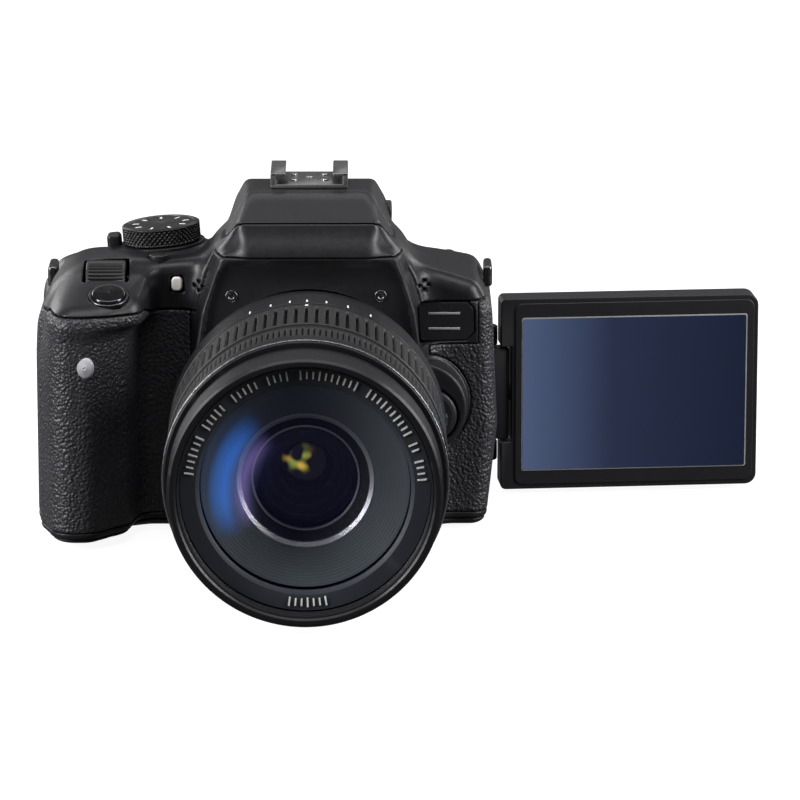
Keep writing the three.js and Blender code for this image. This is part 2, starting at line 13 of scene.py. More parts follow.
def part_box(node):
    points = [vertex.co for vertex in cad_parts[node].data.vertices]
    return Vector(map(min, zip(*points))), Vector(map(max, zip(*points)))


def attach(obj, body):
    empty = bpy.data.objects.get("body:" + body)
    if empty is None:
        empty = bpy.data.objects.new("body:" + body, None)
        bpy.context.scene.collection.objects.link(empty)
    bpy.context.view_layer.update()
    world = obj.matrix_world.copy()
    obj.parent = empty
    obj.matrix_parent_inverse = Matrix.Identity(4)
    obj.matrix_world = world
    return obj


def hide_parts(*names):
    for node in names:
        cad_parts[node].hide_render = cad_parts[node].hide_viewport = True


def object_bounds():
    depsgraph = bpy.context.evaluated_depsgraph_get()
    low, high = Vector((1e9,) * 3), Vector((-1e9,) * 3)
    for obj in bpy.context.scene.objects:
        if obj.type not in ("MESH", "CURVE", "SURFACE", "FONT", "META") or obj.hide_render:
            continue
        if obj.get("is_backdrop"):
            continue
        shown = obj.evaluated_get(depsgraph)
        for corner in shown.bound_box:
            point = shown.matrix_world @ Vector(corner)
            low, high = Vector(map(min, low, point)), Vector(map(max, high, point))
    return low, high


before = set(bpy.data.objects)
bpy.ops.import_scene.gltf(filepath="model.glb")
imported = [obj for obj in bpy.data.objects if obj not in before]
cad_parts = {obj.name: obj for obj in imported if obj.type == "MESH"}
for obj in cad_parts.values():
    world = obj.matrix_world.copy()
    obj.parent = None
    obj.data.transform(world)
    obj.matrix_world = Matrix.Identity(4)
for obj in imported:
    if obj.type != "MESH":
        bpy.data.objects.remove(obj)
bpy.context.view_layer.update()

MM = 0.001
STEP = 0.6     # grid step of the moulded surfaces
BODY = "camera_body"
AXIS_Z = 38.8                         # height of the lens axis
DIAL = (-42.0, -8.0, 78.3)            # foot of the mode dial
DIAL_TILT = math.radians(-4.5)
CAP_TILT = math.radians(20)           # slope under the shutter button
CAP_AT = (-55.7, -45.2, 71.4)         # centre of the shutter button's seat
HINGE = (51.0, 13.0)                  # upright hinge of the screen
PANEL_TURN = math.radians(5)
PANEL_Z = 29.7


# ---- Signed distances -----------------------------------------------------------------
def smin(a, b, k):
    """Union with a fillet of about k."""
    h = np.maximum(k - np.abs(a - b), 0) / k
    return np.minimum(a, b) - h * h * k / 4


def smax(a, b, k):
    """Intersection with an edge rounded by about k."""
    return -smin(-a, -b, k)


def inset(corners, amount):
    """Moves every edge of an anticlockwise outline inwards."""
    lines = []
    for (ax, ay), (bx, by) in zip(corners, corners[1:] + corners[:1]):
        size = math.hypot(bx - ax, by - ay)
        nx, ny = -(by - ay) / size, (bx - ax) / size
        lines.append((nx, ny, nx * ax + ny * ay + amount))
    points = []
    for (px, py, pc), (nx, ny, c) in zip(lines[-1:] + lines[:-1], lines):
        det = px * ny - nx * py
        points.append(((pc * ny - c * py) / det, (px * c - nx * pc) / det))
    return points


def polygon(corners, u, v, radius=0.0):
    """Distance to an outline whose corners are rounded by radius."""
    points = inset(corners, radius) if radius else corners
    nearest = np.full(u.shape, 1e9, u.dtype)
    sign = np.ones(u.shape, u.dtype)
    for (ax, ay), (bx, by) in zip(points, points[1:] + points[:1]):
        ex, ey = bx - ax, by - ay
        wx, wy = u - ax, v - ay
        t = np.clip((wx * ex + wy * ey) / (ex * ex + ey * ey), 0, 1)
        nearest = np.minimum(nearest, (wx - ex * t) ** 2 + (wy - ey * t) ** 2)
        above, below, left = v >= ay, v < by, ex * wy > ey * wx
        sign = np.where((above & below & left) | (~above & ~below & ~left), -sign, sign)
    return sign * np.sqrt(nearest) - radius


def slab(d, w, low, high, radius):
    """Extrudes a flat distance from low to high along w, with rounded rims."""
    a = d + radius
    b = np.abs(w - (low + high) / 2) - (high - low) / 2 + radius
    return np.minimum(np.maximum(a, b), 0) + np.hypot(np.maximum(a, 0), np.maximum(b, 0)) - radius


def block(p, x, y, z, radius=0.0):
    q = [np.abs(w - (a + b) / 2) - (b - a) / 2 + radius for w, (a, b) in zip(p, (x, y, z))]
    outside = np.sqrt(sum(np.maximum(w, 0) ** 2 for w in q))
    return np.minimum(np.maximum(np.maximum(q[0], q[1]), q[2]), 0) + outside - radius


def rod(p, along, centre, radius, low, high, rim=0.3):
    u, v = [w for i, w in enumerate(p) if i != along]
    return slab(np.hypot(u - centre[0], v - centre[1]) - radius, p[along], low, high, rim)


def leaned(p, axis, angle, point):
    """Coordinates of p in a frame that is turned by angle about an axis through point."""
    u, v = [i for i in range(3) if i != axis]
    if axis == 1:
        u, v = v, u
    c, s = math.cos(angle), math.sin(angle)
    du, dv = p[u] - point[u], p[v] - point[v]
    out = list(p)
    out[u] = point[u] + c * du + s * dv
    out[v] = point[v] - s * du + c * dv
    return out


# ---- The moulded body -------------------------------------------------------------------
LEFT, RIGHT = -77.6, 53.3
MAIN = [(LEFT, 0), (50, 0), (RIGHT, 30), (RIGHT - 1.5, 63), (47.5, 71.5), (26, 78.2), (-28, 79.5),
        (-52, 77.4), (-63.5, 74.6), (-71.6, 69), (LEFT + 0.8, 60), (LEFT, 52)]
GRIP_LEFT = LEFT + 1.6
GRIP = [(GRIP_LEFT, -8), (GRIP_LEFT, -40), (-71, -54), (-60.5, -54), (-50.5, -43), (-47.5, -28), (-47.5, -8)]
CAP = [(GRIP_LEFT, -8), (GRIP_LEFT, -40), (-70.5, -53.4), (-56, -53.4), (-46.5, -47.5), (-44, -32), (-44, -8)]
TOWER = [(-33, 1), (33, 1), (33, 47), (30, 66), (24.6, 82), (-24.4, 82), (-30, 66), (-33, 47)]
PANEL_FACE = [(-31.4, 3), (31.4, 3), (31.4, 48), (28.2, 68), (22.6, 86), (-22.4, 86), (-28.2, 68),
              (-31.4, 48)]
HUMP_FRONT = [(-29.5, 60), (29.5, 60), (24.2, 80), (21.2, 88.5), (17.2, 96.6), (-17.2, 96.6), (-21.2, 88.5),
              (-24.2, 80)]
HUMP_SIDE = [(18, 64), (18, 84), (11, 93.6), (-7, 96.6), (-24, 96.6), (-40.6, 91.2), (-44, 82.6),
             (-28, 81.4), (-28, 64)]
HUMP_PLAN = [(-16.2, -44), (16.2, -44), (24, -36), (28, -26), (28, 8), (21, 18), (-21, 18), (-28, 8),
             (-28, -26), (-24, -36)]
RELEASE = (31.5, 37.4)
LIP = 82.3                            # lower edge of the panel on the hump


def lifted(outline):
    """The same outline, drawn anticlockwise."""
    area = sum(a[0] * b[1] - b[0] * a[1] for a, b in zip(outline, outline[1:] + outline[:1]))
    return outline if area > 0 else outline[::-1]


MAIN, GRIP, CAP, TOWER, PANEL_FACE, HUMP_FRONT, HUMP_SIDE, HUMP_PLAN = map(
    lifted, (MAIN, GRIP, CAP, TOWER, PANEL_FACE, HUMP_FRONT, HUMP_SIDE, HUMP_PLAN))


def hump(p):
    x, y, z = p
    front = polygon(HUMP_FRONT, x, z, 5)
    side = polygon(HUMP_SIDE, y, z)
    plan = polygon(HUMP_PLAN, x, y)
    return smax(smax(front, side, 1.6), plan, 1.6)


def body(p):
    """Distance to the outside of the whole camera body."""
    x, y, z = p
    main = slab(polygon(MAIN, x, z, 5), y, -30, 15, 4.5)
    fall = (z - 78 + 0.14 * (y + 10)) / 1.01
    main = smax(main, fall + 0.045 * np.abs(x + 12) - 1.0, 5)
    grip = slab(polygon(GRIP, x, y, 7.5), z, 1.4, 76, 4)
    lid = slab(polygon(CAP, x, y, 7), z, 63, 77, 2)
    grip = smin(grip, lid, 5)
    slope = leaned(p, 0, CAP_TILT, CAP_AT)[2] - CAP_AT[2] - 0.1
    shoulder = (0.5 * (z - 62) - (x - GRIP_LEFT)) / 1.118
    grip = smax(smax(grip, slope, 5), shoulder, 8)
    d = smin(main, grip, 5)
    tower = slab(polygon(TOWER, x, z, 2), y, -43, -10, 1.2)
    d = smin(d, tower, 9)
    d = smin(d, hump(p), 8)
    d = np.minimum(d, block(p, (-10.9, 10.9), (-17.4, 2.4), (85, 96.35), 0.5))
    face = slab(polygon(PANEL_FACE, x, z, 1), y, -60, -41.4, 0)
    under = smax(face, z - LIP, 9)
    d = smax(d, -under, 0.8)
    post = rod(leaned(p, 1, DIAL_TILT, DIAL), 2, DIAL[:2], 13.2, 60, DIAL[2] + 0.1, 1)
    d = smin(d, post, 2)
    release = rod(p, 1, RELEASE, 13, -39.5, -25, 1)
    d = smin(d, release, 0.8)
    thumb = np.sqrt(((x + 71) / 8) ** 2 + ((y - 13) / 5) ** 2 + ((z - 50) / 15) ** 2)
    d = smin(d, (thumb - 1) * 5, 6)
    recess = block(p, (-29.3, 120), (7.6, 60), (-60, 59.2), 1)
    d = smax(smax(d, -recess, 0.8), LEFT - x, 2)
    return smax(d, -z, 2.5)


# ---- Surface of a distance field ----------------------------------------------------------
def sample(field, points):
    """The field at many points, worked out in parts that fit the cache."""
    out = np.empty(len(points), np.float32)
    for start in range(0, len(points), 200000):
        part = points[start:start + 200000]
        out[start:start + 200000] = field([np.ascontiguousarray(part[:, i]) for i in range(3)])
    return out


def grid_values(field, low, counts, step, cells=10):
    """The field on a grid, worked out only in the blocks that the surface can touch."""
    blocks = [-(-(n - 1) // cells) for n in counts]
    index = np.stack(np.meshgrid(*[np.arange(b) for b in blocks], indexing="ij"), -1).reshape(-1, 3)
    centres = low + (index + 0.5) * cells * step
    middle = sample(field, centres.astype(np.float32))
    near = np.abs(middle) < cells * step * 1.15 + 1
    values = np.repeat(np.repeat(np.repeat(middle.reshape(blocks), cells, 0), cells, 1), cells, 2)
    values = np.pad(values, ((0, 1),) * 3, mode="edge").astype(np.float32)
    offsets = np.stack(np.meshgrid(*[np.arange(cells + 1)] * 3, indexing="ij"), -1).reshape(-1, 3)
    active = index[near]
    points = (active[:, None] * cells + offsets[None]).reshape(-1, 3)
    found = sample(field, (low + points * step).astype(np.float32))
    values[points[:, 0], points[:, 1], points[:, 2]] = found
    return values


CORNERS = [(i, j, k) for i in (0, 1) for j in (0, 1) for k in (0, 1)]
EDGES = [(a, b) for a in range(8) for b in range(a + 1, 8)
         if sum(abs(u - v) for u, v in zip(CORNERS[a], CORNERS[b])) == 1]


def surface_nets(values):
    """Quads around the zero level: one vertex in each cell that the level crosses."""
    inside = values < 0
    size = [n - 1 for n in values.shape]
    count = np.zeros(size, np.int8)
    for corner in CORNERS:
        count += inside[tuple(slice(c, c + s) for c, s in zip(corner, size))]
    cells = np.argwhere((count > 0) & (count < 8))
    at = np.stack([values[cells[:, 0] + i, cells[:, 1] + j, cells[:, 2] + k] for i, j, k in CORNERS], 1)
    total = np.zeros((len(cells), 3))
    hits = np.zeros(len(cells))
    for a, b in EDGES:
        crossed = (at[:, a] < 0) != (at[:, b] < 0)
        t = np.where(crossed, at[:, a] / np.where(crossed, at[:, a] - at[:, b], 1), 0)
        start, end = np.array(CORNERS[a]), np.array(CORNERS[b])
        total += crossed[:, None] * (start + t[:, None] * (end - start))
        hits += crossed
    verts = cells + total / hits[:, None]
    number = np.full(size, -1, np.int32)
    number[cells[:, 0], cells[:, 1], cells[:, 2]] = np.arange(len(cells))
    quads = []
    for axis in range(3):
        u, v = (axis + 1) % 3, (axis + 2) % 3
        at = np.argwhere(np.diff(inside, axis=axis))
        keep = (at[:, u] > 0) & (at[:, v] > 0) & (at[:, u] < size[u]) & (at[:, v] < size[v])
        at = at[keep]
        ring = []
        for du, dv in ((-1, -1), (0, -1), (0, 0), (-1, 0)):
            cell = at.copy()
            cell[:, u] += du
            cell[:, v] += dv
            ring.append(number[cell[:, 0], cell[:, 1], cell[:, 2]])
        quad = np.stack(ring, 1)
        out = inside[at[:, 0], at[:, 1], at[:, 2]]
        quads.append(np.where(out[:, None], quad, quad[:, ::-1]))
    return verts, np.concatenate(quads)


def slopes(field, points, reach=0.05):
    out = np.empty_like(points)
    for i in range(3):
        shift = np.zeros(3)
        shift[i] = reach
        out[:, i] = (sample(field, (points + shift).astype(np.float32))
                     - sample(field, (points - shift).astype(np.float32))) / (2 * reach)
    return out


def moulded(name, field, low, high, step=None):
    """A piece whose surface is the zero level of a distance field, with true normals."""
    step = step or STEP
    low, high = np.array(low, float) - 1.5 * step, np.array(high, float) + 1.5 * step
    counts = np.ceil((high - low) / step).astype(int) + 1
    verts, quads = surface_nets(grid_values(field, low, counts, step))
    points = low + verts * step
    for _ in range(3):
        slope = slopes(field, points)
        away = sample(field, points.astype(np.float32))
        move = away[:, None] * slope / np.maximum((slope ** 2).sum(1), 0.2)[:, None]
        points = points - np.clip(move, -0.4 * step, 0.4 * step)
    slope = slopes(field, points)
    normals = slope / np.maximum(np.linalg.norm(slope, axis=1), 1e-6)[:, None]
    return mesh_piece(name, points * MM, quads, normals)


# ---- Making pieces ------------------------------------------------------------------------
def shown(name, data):
    """A mesh, light or camera put in the scene."""
    piece = bpy.data.objects.new(name, data)
    bpy.context.scene.collection.objects.link(piece)
    return piece


def mesh_of(name, build):
    mesh = bpy.data.meshes.new(name)
    build.to_mesh(mesh)
    build.free()
    return mesh


def mesh_piece(name, points, faces, normals=None):
    mesh = bpy.data.meshes.new(name)
    mesh.from_pydata([tuple(p) for p in points], [], [tuple(int(i) for i in f) for f in faces])
    mesh.update()
    mesh.shade_smooth()
    if normals is not None:
        mesh.normals_split_custom_set_from_vertices([tuple(n) for n in normals])
    return shown(name, mesh)


def place(piece, body_name, material, slot, *nodes):
    """Gives a piece its body and its material, and hides the CAD nodes that it stands for."""
    piece.data.materials.clear()
    piece.data.materials.append(material)
    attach(piece, body_name)
    if nodes:
        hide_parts(*nodes)
    return piece


def outline_with_normals(corners, radius, parts=4):
    """Points of a closed outline with rounded corners, and the outward normal at each."""
    corners = [tuple(c) for c in corners]
    area = sum(a[0] * b[1] - b[0] * a[1] for a, b in zip(corners, corners[1:] + corners[:1]))
    if area < 0:
        corners = corners[::-1]
    points, normals = [], []
    for before, here, after in zip(corners[-1:] + corners[:-1], corners, corners[1:] + corners[:1]):
        size = here[2] if len(here) > 2 else radius
        into = Vector((here[0] - before[0], here[1] - before[1]))
        out = Vector((after[0] - here[0], after[1] - here[1]))
        turn = math.atan2(into.x * out.y - into.y * out.x, into.dot(out))
        reach = min(abs(size * math.tan(turn / 2)), 0.45 * min(into.length, out.length))
        start = Vector(here[:2]) - into.normalized() * reach
        end = Vector(here[:2]) + out.normalized() * reach
        first = Vector((into.y, -into.x)).normalized()
        bend = reach / max(math.tan(abs(turn) / 2), 1e-6) * (1 if turn > 0 else -1)
        centre = start - first * bend
        for i in range(parts + 1):
            c, s = math.cos(turn * i / parts), math.sin(turn * i / parts)
            normal = Vector((c * first.x - s * first.y, s * first.x + c * first.y))
            at = centre + normal * bend if reach > 1e-4 else (start + end) / 2
            points.append((at.x, at.y))
            normals.append((normal.x, normal.y))
    return points, normals


def turned(name, corners, to, radius=0.25, segments=160, parts=4, rows=(), ribs=None):
    """A ring or a disc: a closed outline of (radius, height), turned around the local Z of to.

    rows are heights where ribs need extra rings; ribs(angle, height) is how deep the surface sinks.
    """
    points, normals = outline_with_normals(corners, radius, parts)
    if rows:
        points, normals = with_rows(points, normals, rows)
    angles = np.linspace(0, 2 * math.pi, segments, endpoint=False)
    r = np.array([p[0] for p in points])[:, None]
    h = np.array([p[1] for p in points])[:, None]
    nr = np.array([n[0] for n in normals])[:, None]
    nh = np.array([n[1] for n in normals])[:, None]
    outer = np.maximum(r, 0.001)
    if ribs:
        outer = outer - np.where(nr > 0.6, ribs(angles[None, :], h), 0)
    outer = np.broadcast_to(outer, (len(points), segments))
    height = np.broadcast_to(h, (len(points), segments))
    local = np.stack([outer * np.cos(angles), outer * np.sin(angles), height, np.ones_like(height)], -1)
    matrix = np.array(to)
    world = local.reshape(-1, 4) @ matrix.T
    turned_normals = np.stack([nr * np.cos(angles), nr * np.sin(angles),
                               np.broadcast_to(nh, (len(points), segments))], -1).reshape(-1, 3)
    turned_normals = turned_normals @ matrix[:3, :3].T
    count = len(points)
    faces = []
    for i in range(count):
        j = (i + 1) % count
        if abs(points[i][0] - points[j][0]) + abs(points[i][1] - points[j][1]) < 1e-5:
            continue
        if points[i][0] < 0.002 and points[j][0] < 0.002:
            continue
        for k in range(segments):
            n = (k + 1) % segments
            faces.append((i * segments + k, i * segments + n, j * segments + n, j * segments + k))
    return mesh_piece(name, world[:, :3] * MM, faces, None if ribs else turned_normals)


def with_rows(points, normals, rows):
    out_points, out_normals = [], []
    for i, (here, normal) in enumerate(zip(points, normals)):
        after = points[(i + 1) % len(points)]
        out_points.append(here)
        out_normals.append(normal)
        if abs(after[0] - here[0]) > 0.8 or normal[0] < 0.5:
            continue
        low, high = sorted((here[1], after[1]))
        inner = sorted((w for w in rows if low + 0.05 < w < high - 0.05), reverse=after[1] < here[1])
        for w in inner:
            t = (w - here[1]) / (after[1] - here[1])
            out_points.append((here[0] + t * (after[0] - here[0]), w))
            out_normals.append(normal)
    return out_points, out_normals


def turned_part(name, corners, to, body_name, material, slot, *nodes, **shape):
    """A turned piece, put straight on its body."""
    return place(turned(name, corners, to, **shape), body_name, material, slot, *nodes)


AXES = {
    "x": Matrix(((0, 0, 1, 0), (1, 0, 0, 0), (0, 1, 0, 0), (0, 0, 0, 1))),
    "y": Matrix(((1, 0, 0, 0), (0, 0, 1, 0), (0, -1, 0, 0), (0, 0, 0, 1))),
    "-y": Matrix(((1, 0, 0, 0), (0, 0, -1, 0), (0, 1, 0, 0), (0, 0, 0, 1))),
    "z": Matrix.Identity(4),
}


def along(axis, x, y, z):
    """A frame whose local Z runs along that axis, with its origin at x, y, z."""
    return Matrix.Translation((x, y, z)) @ AXES[axis]


LENS = along("-y", 0, 0, AXIS_Z)


def plate(name, outline, low, high, to=None, bevel=0.3, segments=3):
    """An extruded outline with bevelled rims; its local Z is the direction of extrusion."""
    to = to or Matrix.Identity(4)
    build = bmesh.new()
    base = [build.verts.new((*point, low)) for point in lifted(list(outline))]
    face = build.faces.new(base[::-1])
    grown = bmesh.ops.extrude_face_region(build, geom=[face])
    moved = [v for v in grown["geom"] if isinstance(v, bmesh.types.BMVert)]
    bmesh.ops.translate(build, verts=moved, vec=(0, 0, high - low))
    bmesh.ops.recalc_face_normals(build, faces=build.faces)
    return finish_bmesh(name, build, to, bevel, segments)


def finish_bmesh(name, build, to, bevel, segments):
    bmesh.ops.transform(build, matrix=Matrix.Scale(MM, 4) @ to, verts=build.verts)
    mesh = mesh_of(name, build)
    mesh.shade_smooth()
    piece = shown(name, mesh)
    if bevel:
        rounding = piece.modifiers.new("rounding", "BEVEL")
        rounding.width = bevel * MM
        rounding.segments = segments
        rounding.limit_method = "ANGLE"
        rounding.angle_limit = math.radians(31)
        rounding.harden_normals = True
    return piece


def ngon(corners, radius, parts=6):
    """The outline with its corners rounded, as plain points."""
    points, _ = outline_with_normals(corners, radius, parts)
    kept = [p for p, q in zip(points, points[1:] + points[:1])
            if abs(p[0] - q[0]) + abs(p[1] - q[1]) > 1e-4]
    return kept


def rectangle(x, y):
    return [(x[0], y[0]), (x[1], y[0]), (x[1], y[1]), (x[0], y[1])]


def circle(x, y, radius, count=96):
    return [(x + radius * math.cos(2 * math.pi * i / count), y + radius * math.sin(2 * math.pi * i / count))
            for i in range(count)]


def bar(name, x, y, z, bevel=0.3, to=None, segments=3):
    return plate(name, rectangle(x, y), z[0], z[1], to, bevel, segments)


def joined(name, parts):
    """Several pieces of one material made into one, with their modifiers applied."""
    graph = bpy.context.evaluated_depsgraph_get()
    build = bmesh.new()
    for part in parts:
        shaped = bpy.data.meshes.new_from_object(part.evaluated_get(graph))
        build.from_mesh(shaped)
        bpy.data.meshes.remove(shaped)
    mesh = mesh_of(name, build)
    for part in parts:
        bpy.data.objects.remove(part)
    mesh.shade_smooth()
    mesh.set_sharp_from_angle(angle=math.radians(40))
    return shown(name, mesh)


# ---- Materials ------------------------------------------------------------------------------
def node(tree, kind, **values):
    """Adds a node. A socket among the values is linked to the input of that name, the rest are set."""
    made = tree.nodes.new("ShaderNode" + kind)
    for key, value in values.items():
        title = key.replace("_", " ")
        if title not in made.inputs:
            setattr(made, key, value)
        elif isinstance(value, bpy.types.NodeSocket):
            tree.links.new(value, made.inputs[title])
        else:
            made.inputs[title].default_value = value
    return made


def object_place(tree):
    return node(tree, "TexCoord").outputs["Object"]


def spread(tree, value, low, high, to_low=0.0, to_high=1.0, **more):
    """Maps the range low..high of a value onto to_low..to_high."""
    made = node(tree, "MapRange", **more, Value=value, From_Min=low, From_Max=high, To_Min=to_low,
                To_Max=to_high)
    return made.outputs["Result"]


def worked_out(tree, kind, operation, first, second=None):
    """Arithmetic on one or two sockets or constants: kind is "Math" or "VectorMath"."""
    made = node(tree, kind, operation=operation)
    for socket, value in zip(made.inputs, (first, second)):
        if isinstance(value, bpy.types.NodeSocket):
            tree.links.new(value, socket)
        elif value is not None:
            socket.default_value = value
    gives_number = kind == "Math" or operation in ("LENGTH", "DISTANCE", "DOT_PRODUCT")
    return made.outputs["Value" if gives_number else "Vector"]


def scaled(tree, vector, factor):
    return node(tree, "VectorMath", operation="SCALE", Vector=vector, Scale=factor).outputs["Vector"]


def coloured(tree, value, stops):
    """A colour ramp with those (position, colour) stops."""
    ramp = node(tree, "ValToRGB", Fac=value)
    first, *others, last = stops
    for element, (position, colour) in zip(ramp.color_ramp.elements, (first, last)):
        element.position = position
        element.color = (*colour, 1)
    for position, colour in others:
        ramp.color_ramp.elements.new(position).color = (*colour, 1)
    return ramp.outputs["Color"]


def new_material(name, empty=False):
    material = bpy.data.materials.new(name)
    material.use_nodes = True
    if empty:
        material.node_tree.nodes.clear()
    return material, material.node_tree


def shader_of(material):
    return material.node_tree.nodes["Principled BSDF"]


def finish_of(name, colour, roughness, grain=2600, depth=0.00002, metallic=0.0, vary=0.25,
              coat=0.0, wear=0.05, specular=0.3, bump=0.35, cells=False):
    """A surface with fine grain, uneven gloss, slight colour change and paler worn edges.

    grain is how many bumps there are in a metre, and depth their height in metres.
    """
    material, tree = new_material(name)
    link = tree.links.new
    shader = shader_of(material)
    shader.inputs["Metallic"].default_value = metallic
    shader.inputs["Coat Weight"].default_value = coat
    shader.inputs["Coat Roughness"].default_value = 0.06
    shader.inputs["Specular IOR Level"].default_value = specular
    where = object_place(tree)
    broad = node(tree, "TexNoise", Vector=where, Scale=70.0, Detail=4.0).outputs["Fac"]
    fine = node(tree, "TexNoise", Vector=where, Scale=900.0, Detail=3.0).outputs["Fac"]
    shade = scaled(tree, colour, spread(tree, broad, 0, 1, 1 - vary, 1 + vary))
    worn = spread(tree, node(tree, "NewGeometry").outputs["Pointiness"], 0.52, 0.62, 0, wear)
    paler = (*[min(1, 0.25 + c) for c in colour], 1)
    mix = node(tree, "Mix", data_type="RGBA", Factor=worn, A=shade, B=paler)
    link(mix.outputs["Result"], shader.inputs["Base Color"])
    gloss = spread(tree, fine, 0.3, 0.7, max(0.02, roughness * 0.86), min(1, roughness * 1.16))
    link(gloss, shader.inputs["Roughness"])
    if cells:
        surface = node(tree, "TexVoronoi", feature="SMOOTH_F1", Vector=where, Scale=float(grain))
        height = surface.outputs["Distance"]
    else:
        height = node(tree, "TexNoise", Vector=where, Scale=float(grain), Detail=2.0).outputs["Fac"]
    relief = node(tree, "Bump", invert=cells, Strength=bump, Distance=depth, Height=height)
    link(relief.outputs["Normal"], shader.inputs["Normal"])
    return material


def coated_glass(name, colour, amount, tint=(1, 1, 1)):
    """Clear glass with a coloured coating: it lets light through and reflects its own colour."""
    material, tree = new_material(name, empty=True)
    smudge = node(tree, "TexNoise", Vector=object_place(tree), Scale=60.0, Detail=5.0).outputs["Fac"]
    rough = spread(tree, smudge, 0, 1, 0.015, 0.06)
    clear = node(tree, "BsdfTransparent", Color=(*tint, 1))
    mirror = node(tree, "BsdfGlossy", Color=(*colour, 1), Roughness=rough)
    fresnel = node(tree, "LayerWeight", Blend=0.35).outputs["Fresnel"]
    share = spread(tree, fresnel, 0, 1, amount, min(1, amount * 4))
    mix = node(tree, "MixShader", Fac=share)
    tree.links.new(clear.outputs["BSDF"], mix.inputs[1])
    tree.links.new(mirror.outputs["BSDF"], mix.inputs[2])
    node(tree, "OutputMaterial", Surface=mix.outputs["Shader"])
    return material


MOULDED = finish_of("moulded_black", (0.0105, 0.0102, 0.0125), 0.42, 2400, 0.00006, bump=0.30)
TOPSIDE = finish_of("moulded_satin", (0.0105, 0.0102, 0.0125), 0.36, 2800, 0.00005, bump=0.25)
PEBBLED = finish_of("grip_rubber", (0.026, 0.025, 0.030), 0.42, 1250, 0.0005, cells=True, bump=1.0,
                    wear=0.02, specular=0.45)
SOFT = finish_of("soft_rubber", (0.014, 0.014, 0.015), 0.66, 1800, 0.00008, wear=0.02)
def ribbed_rubber_painted_shade(name, floor, top):
    """Ring rubber whose grooves, between those two radii in mm, are matt and carry painted shade that makes
    them nearly black.
    """
    material = finish_of(name, (0.016, 0.016, 0.0175), 0.34, 2000, 0.00006, wear=0.06)
    tree = material.node_tree
    shader = shader_of(material)
    away = worked_out(tree, "VectorMath", "SUBTRACT", object_place(tree), (0, 0, AXIS_Z * MM))
    across = worked_out(tree, "VectorMath", "MULTIPLY", away, (1, 0, 1))
    size = worked_out(tree, "VectorMath", "LENGTH", across)
    raised = spread(tree, size, floor * MM, top * MM, 0.02, 1)
    dull = spread(tree, size, floor * MM, top * MM, 1.0, 0.1)
    colour = shader.inputs["Base Color"].links[0].from_socket
    rough = shader.inputs["Roughness"].links[0].from_socket
    # painted shade: the base colour is scaled down nearly to black in the grooves
    tree.links.new(scaled(tree, colour, raised), shader.inputs["Base Color"])
    tree.links.new(worked_out(tree, "Math", "MAXIMUM", rough, dull), shader.inputs["Roughness"])
    return material


ZOOM_RUBBER = ribbed_rubber_painted_shade("ring_rubber", 37.0, 37.85)
FOCUS_RUBBER = ribbed_rubber_painted_shade("focus_rubber", 37.15, 37.5)
LENS_BLACK = finish_of("lens_black", (0.008, 0.008, 0.0098), 0.33, 2600, 0.00003, bump=0.2, specular=0.22)
RING_BLACK = finish_of("name_ring_black", (0.030, 0.034, 0.044), 0.45, 1800, 0.00004)
BUTTON = finish_of("button_black", (0.016, 0.016, 0.018), 0.33, 2400, 0.00003)
GLOSS = finish_of("shutter_gloss", (0.004, 0.004, 0.005), 0.16, 600, 0.00001, coat=0.8, bump=0.05)
DIAL_BLACK = finish_of("dial_black", (0.012, 0.012, 0.013), 0.32, 2200, 0.00003, bump=0.2)
SCREEN_SHELL = finish_of("screen_plastic", (0.013, 0.013, 0.0155), 0.4, 2400, 0.00005, bump=0.25)
BADGE = finish_of("badge", (0.012, 0.012, 0.014), 0.3, 1500, 0.00002, coat=0.3)
LAMP = finish_of("lamp_white", (0.75, 0.72, 0.68), 0.25, 700, 0.00003, coat=0.5, wear=0)
SENSOR = finish_of("sensor_grey", (0.06, 0.10, 0.11), 0.12, 900, 0.00001, metallic=0.4, coat=0.5)
STEEL = finish_of("steel", (0.46, 0.46, 0.47), 0.28, 1800, 0.00002, metallic=1.0, wear=0.2)
BAFFLE = finish_of("baffle_grey", (0.070, 0.082, 0.086), 0.42, 1800, 0.00004, wear=0.1)
RETAINER = finish_of("retainer_grey", (0.34, 0.34, 0.37), 0.38, 1800, 0.00003, metallic=0.6)
SHOE = finish_of("shoe_black", (0.07, 0.07, 0.073), 0.3, 1800, 0.00002, metallic=0.7, wear=0.4)
WINDOW_GREY = finish_of("window_grey", (0.42, 0.42, 0.45), 0.22, 900, 0.00003, coat=0.4, wear=0)
DARK_STEEL = finish_of("dark_steel", (0.12, 0.12, 0.125), 0.3, 1800, 0.00002, metallic=1.0)
SHUTTER = finish_of("shutter_metal", (0.09, 0.09, 0.095), 0.45, 1500, 0.00002, metallic=0.7)
MIRROR = finish_of("mirror", (0.85, 0.87, 0.88), 0.03, 400, 0.000002, metallic=1.0, bump=0.02, wear=0)
INNER = finish_of("inner_black", (0.006, 0.006, 0.006), 0.75, 1600, 0.00006, wear=0.02)
BOARD = finish_of("electronics", (0.012, 0.07, 0.035), 0.4, 900, 0.0001, vary=0.4)
PAINT = finish_of("paint_white", (0.72, 0.72, 0.70), 0.5, 1200, 0.00002, wear=0)
DIM_PAINT = finish_of("paint_grey", (0.30, 0.30, 0.30), 0.5, 1200, 0.00002, wear=0)
INNER_GLASS = coated_glass("inner_glass", (0.45, 0.35, 0.8), 0.03)
CLEAR = coated_glass("optical_glass", (0.75, 0.8, 0.9), 0.12, (0.35, 0.36, 0.4))


# ---- Covers -----------------------------------------------------------------------------------
SPLIT, SEAM, BASE_TOP = -9.0, 64.2, 3.0
WALL = 2.0
SKIN = 1.1
HALF_GAP = 0.12
WINDOW = ((-12.4, 12.4), (71.6, 86.4))


def all_of(*fields):
    out = fields[0]
    for f in fields[1:]:
        out = np.maximum(out, f)
    return out


def any_of(*fields):
    out = fields[0]
    for f in fields[1:]:
        out = np.minimum(out, f)
    return out


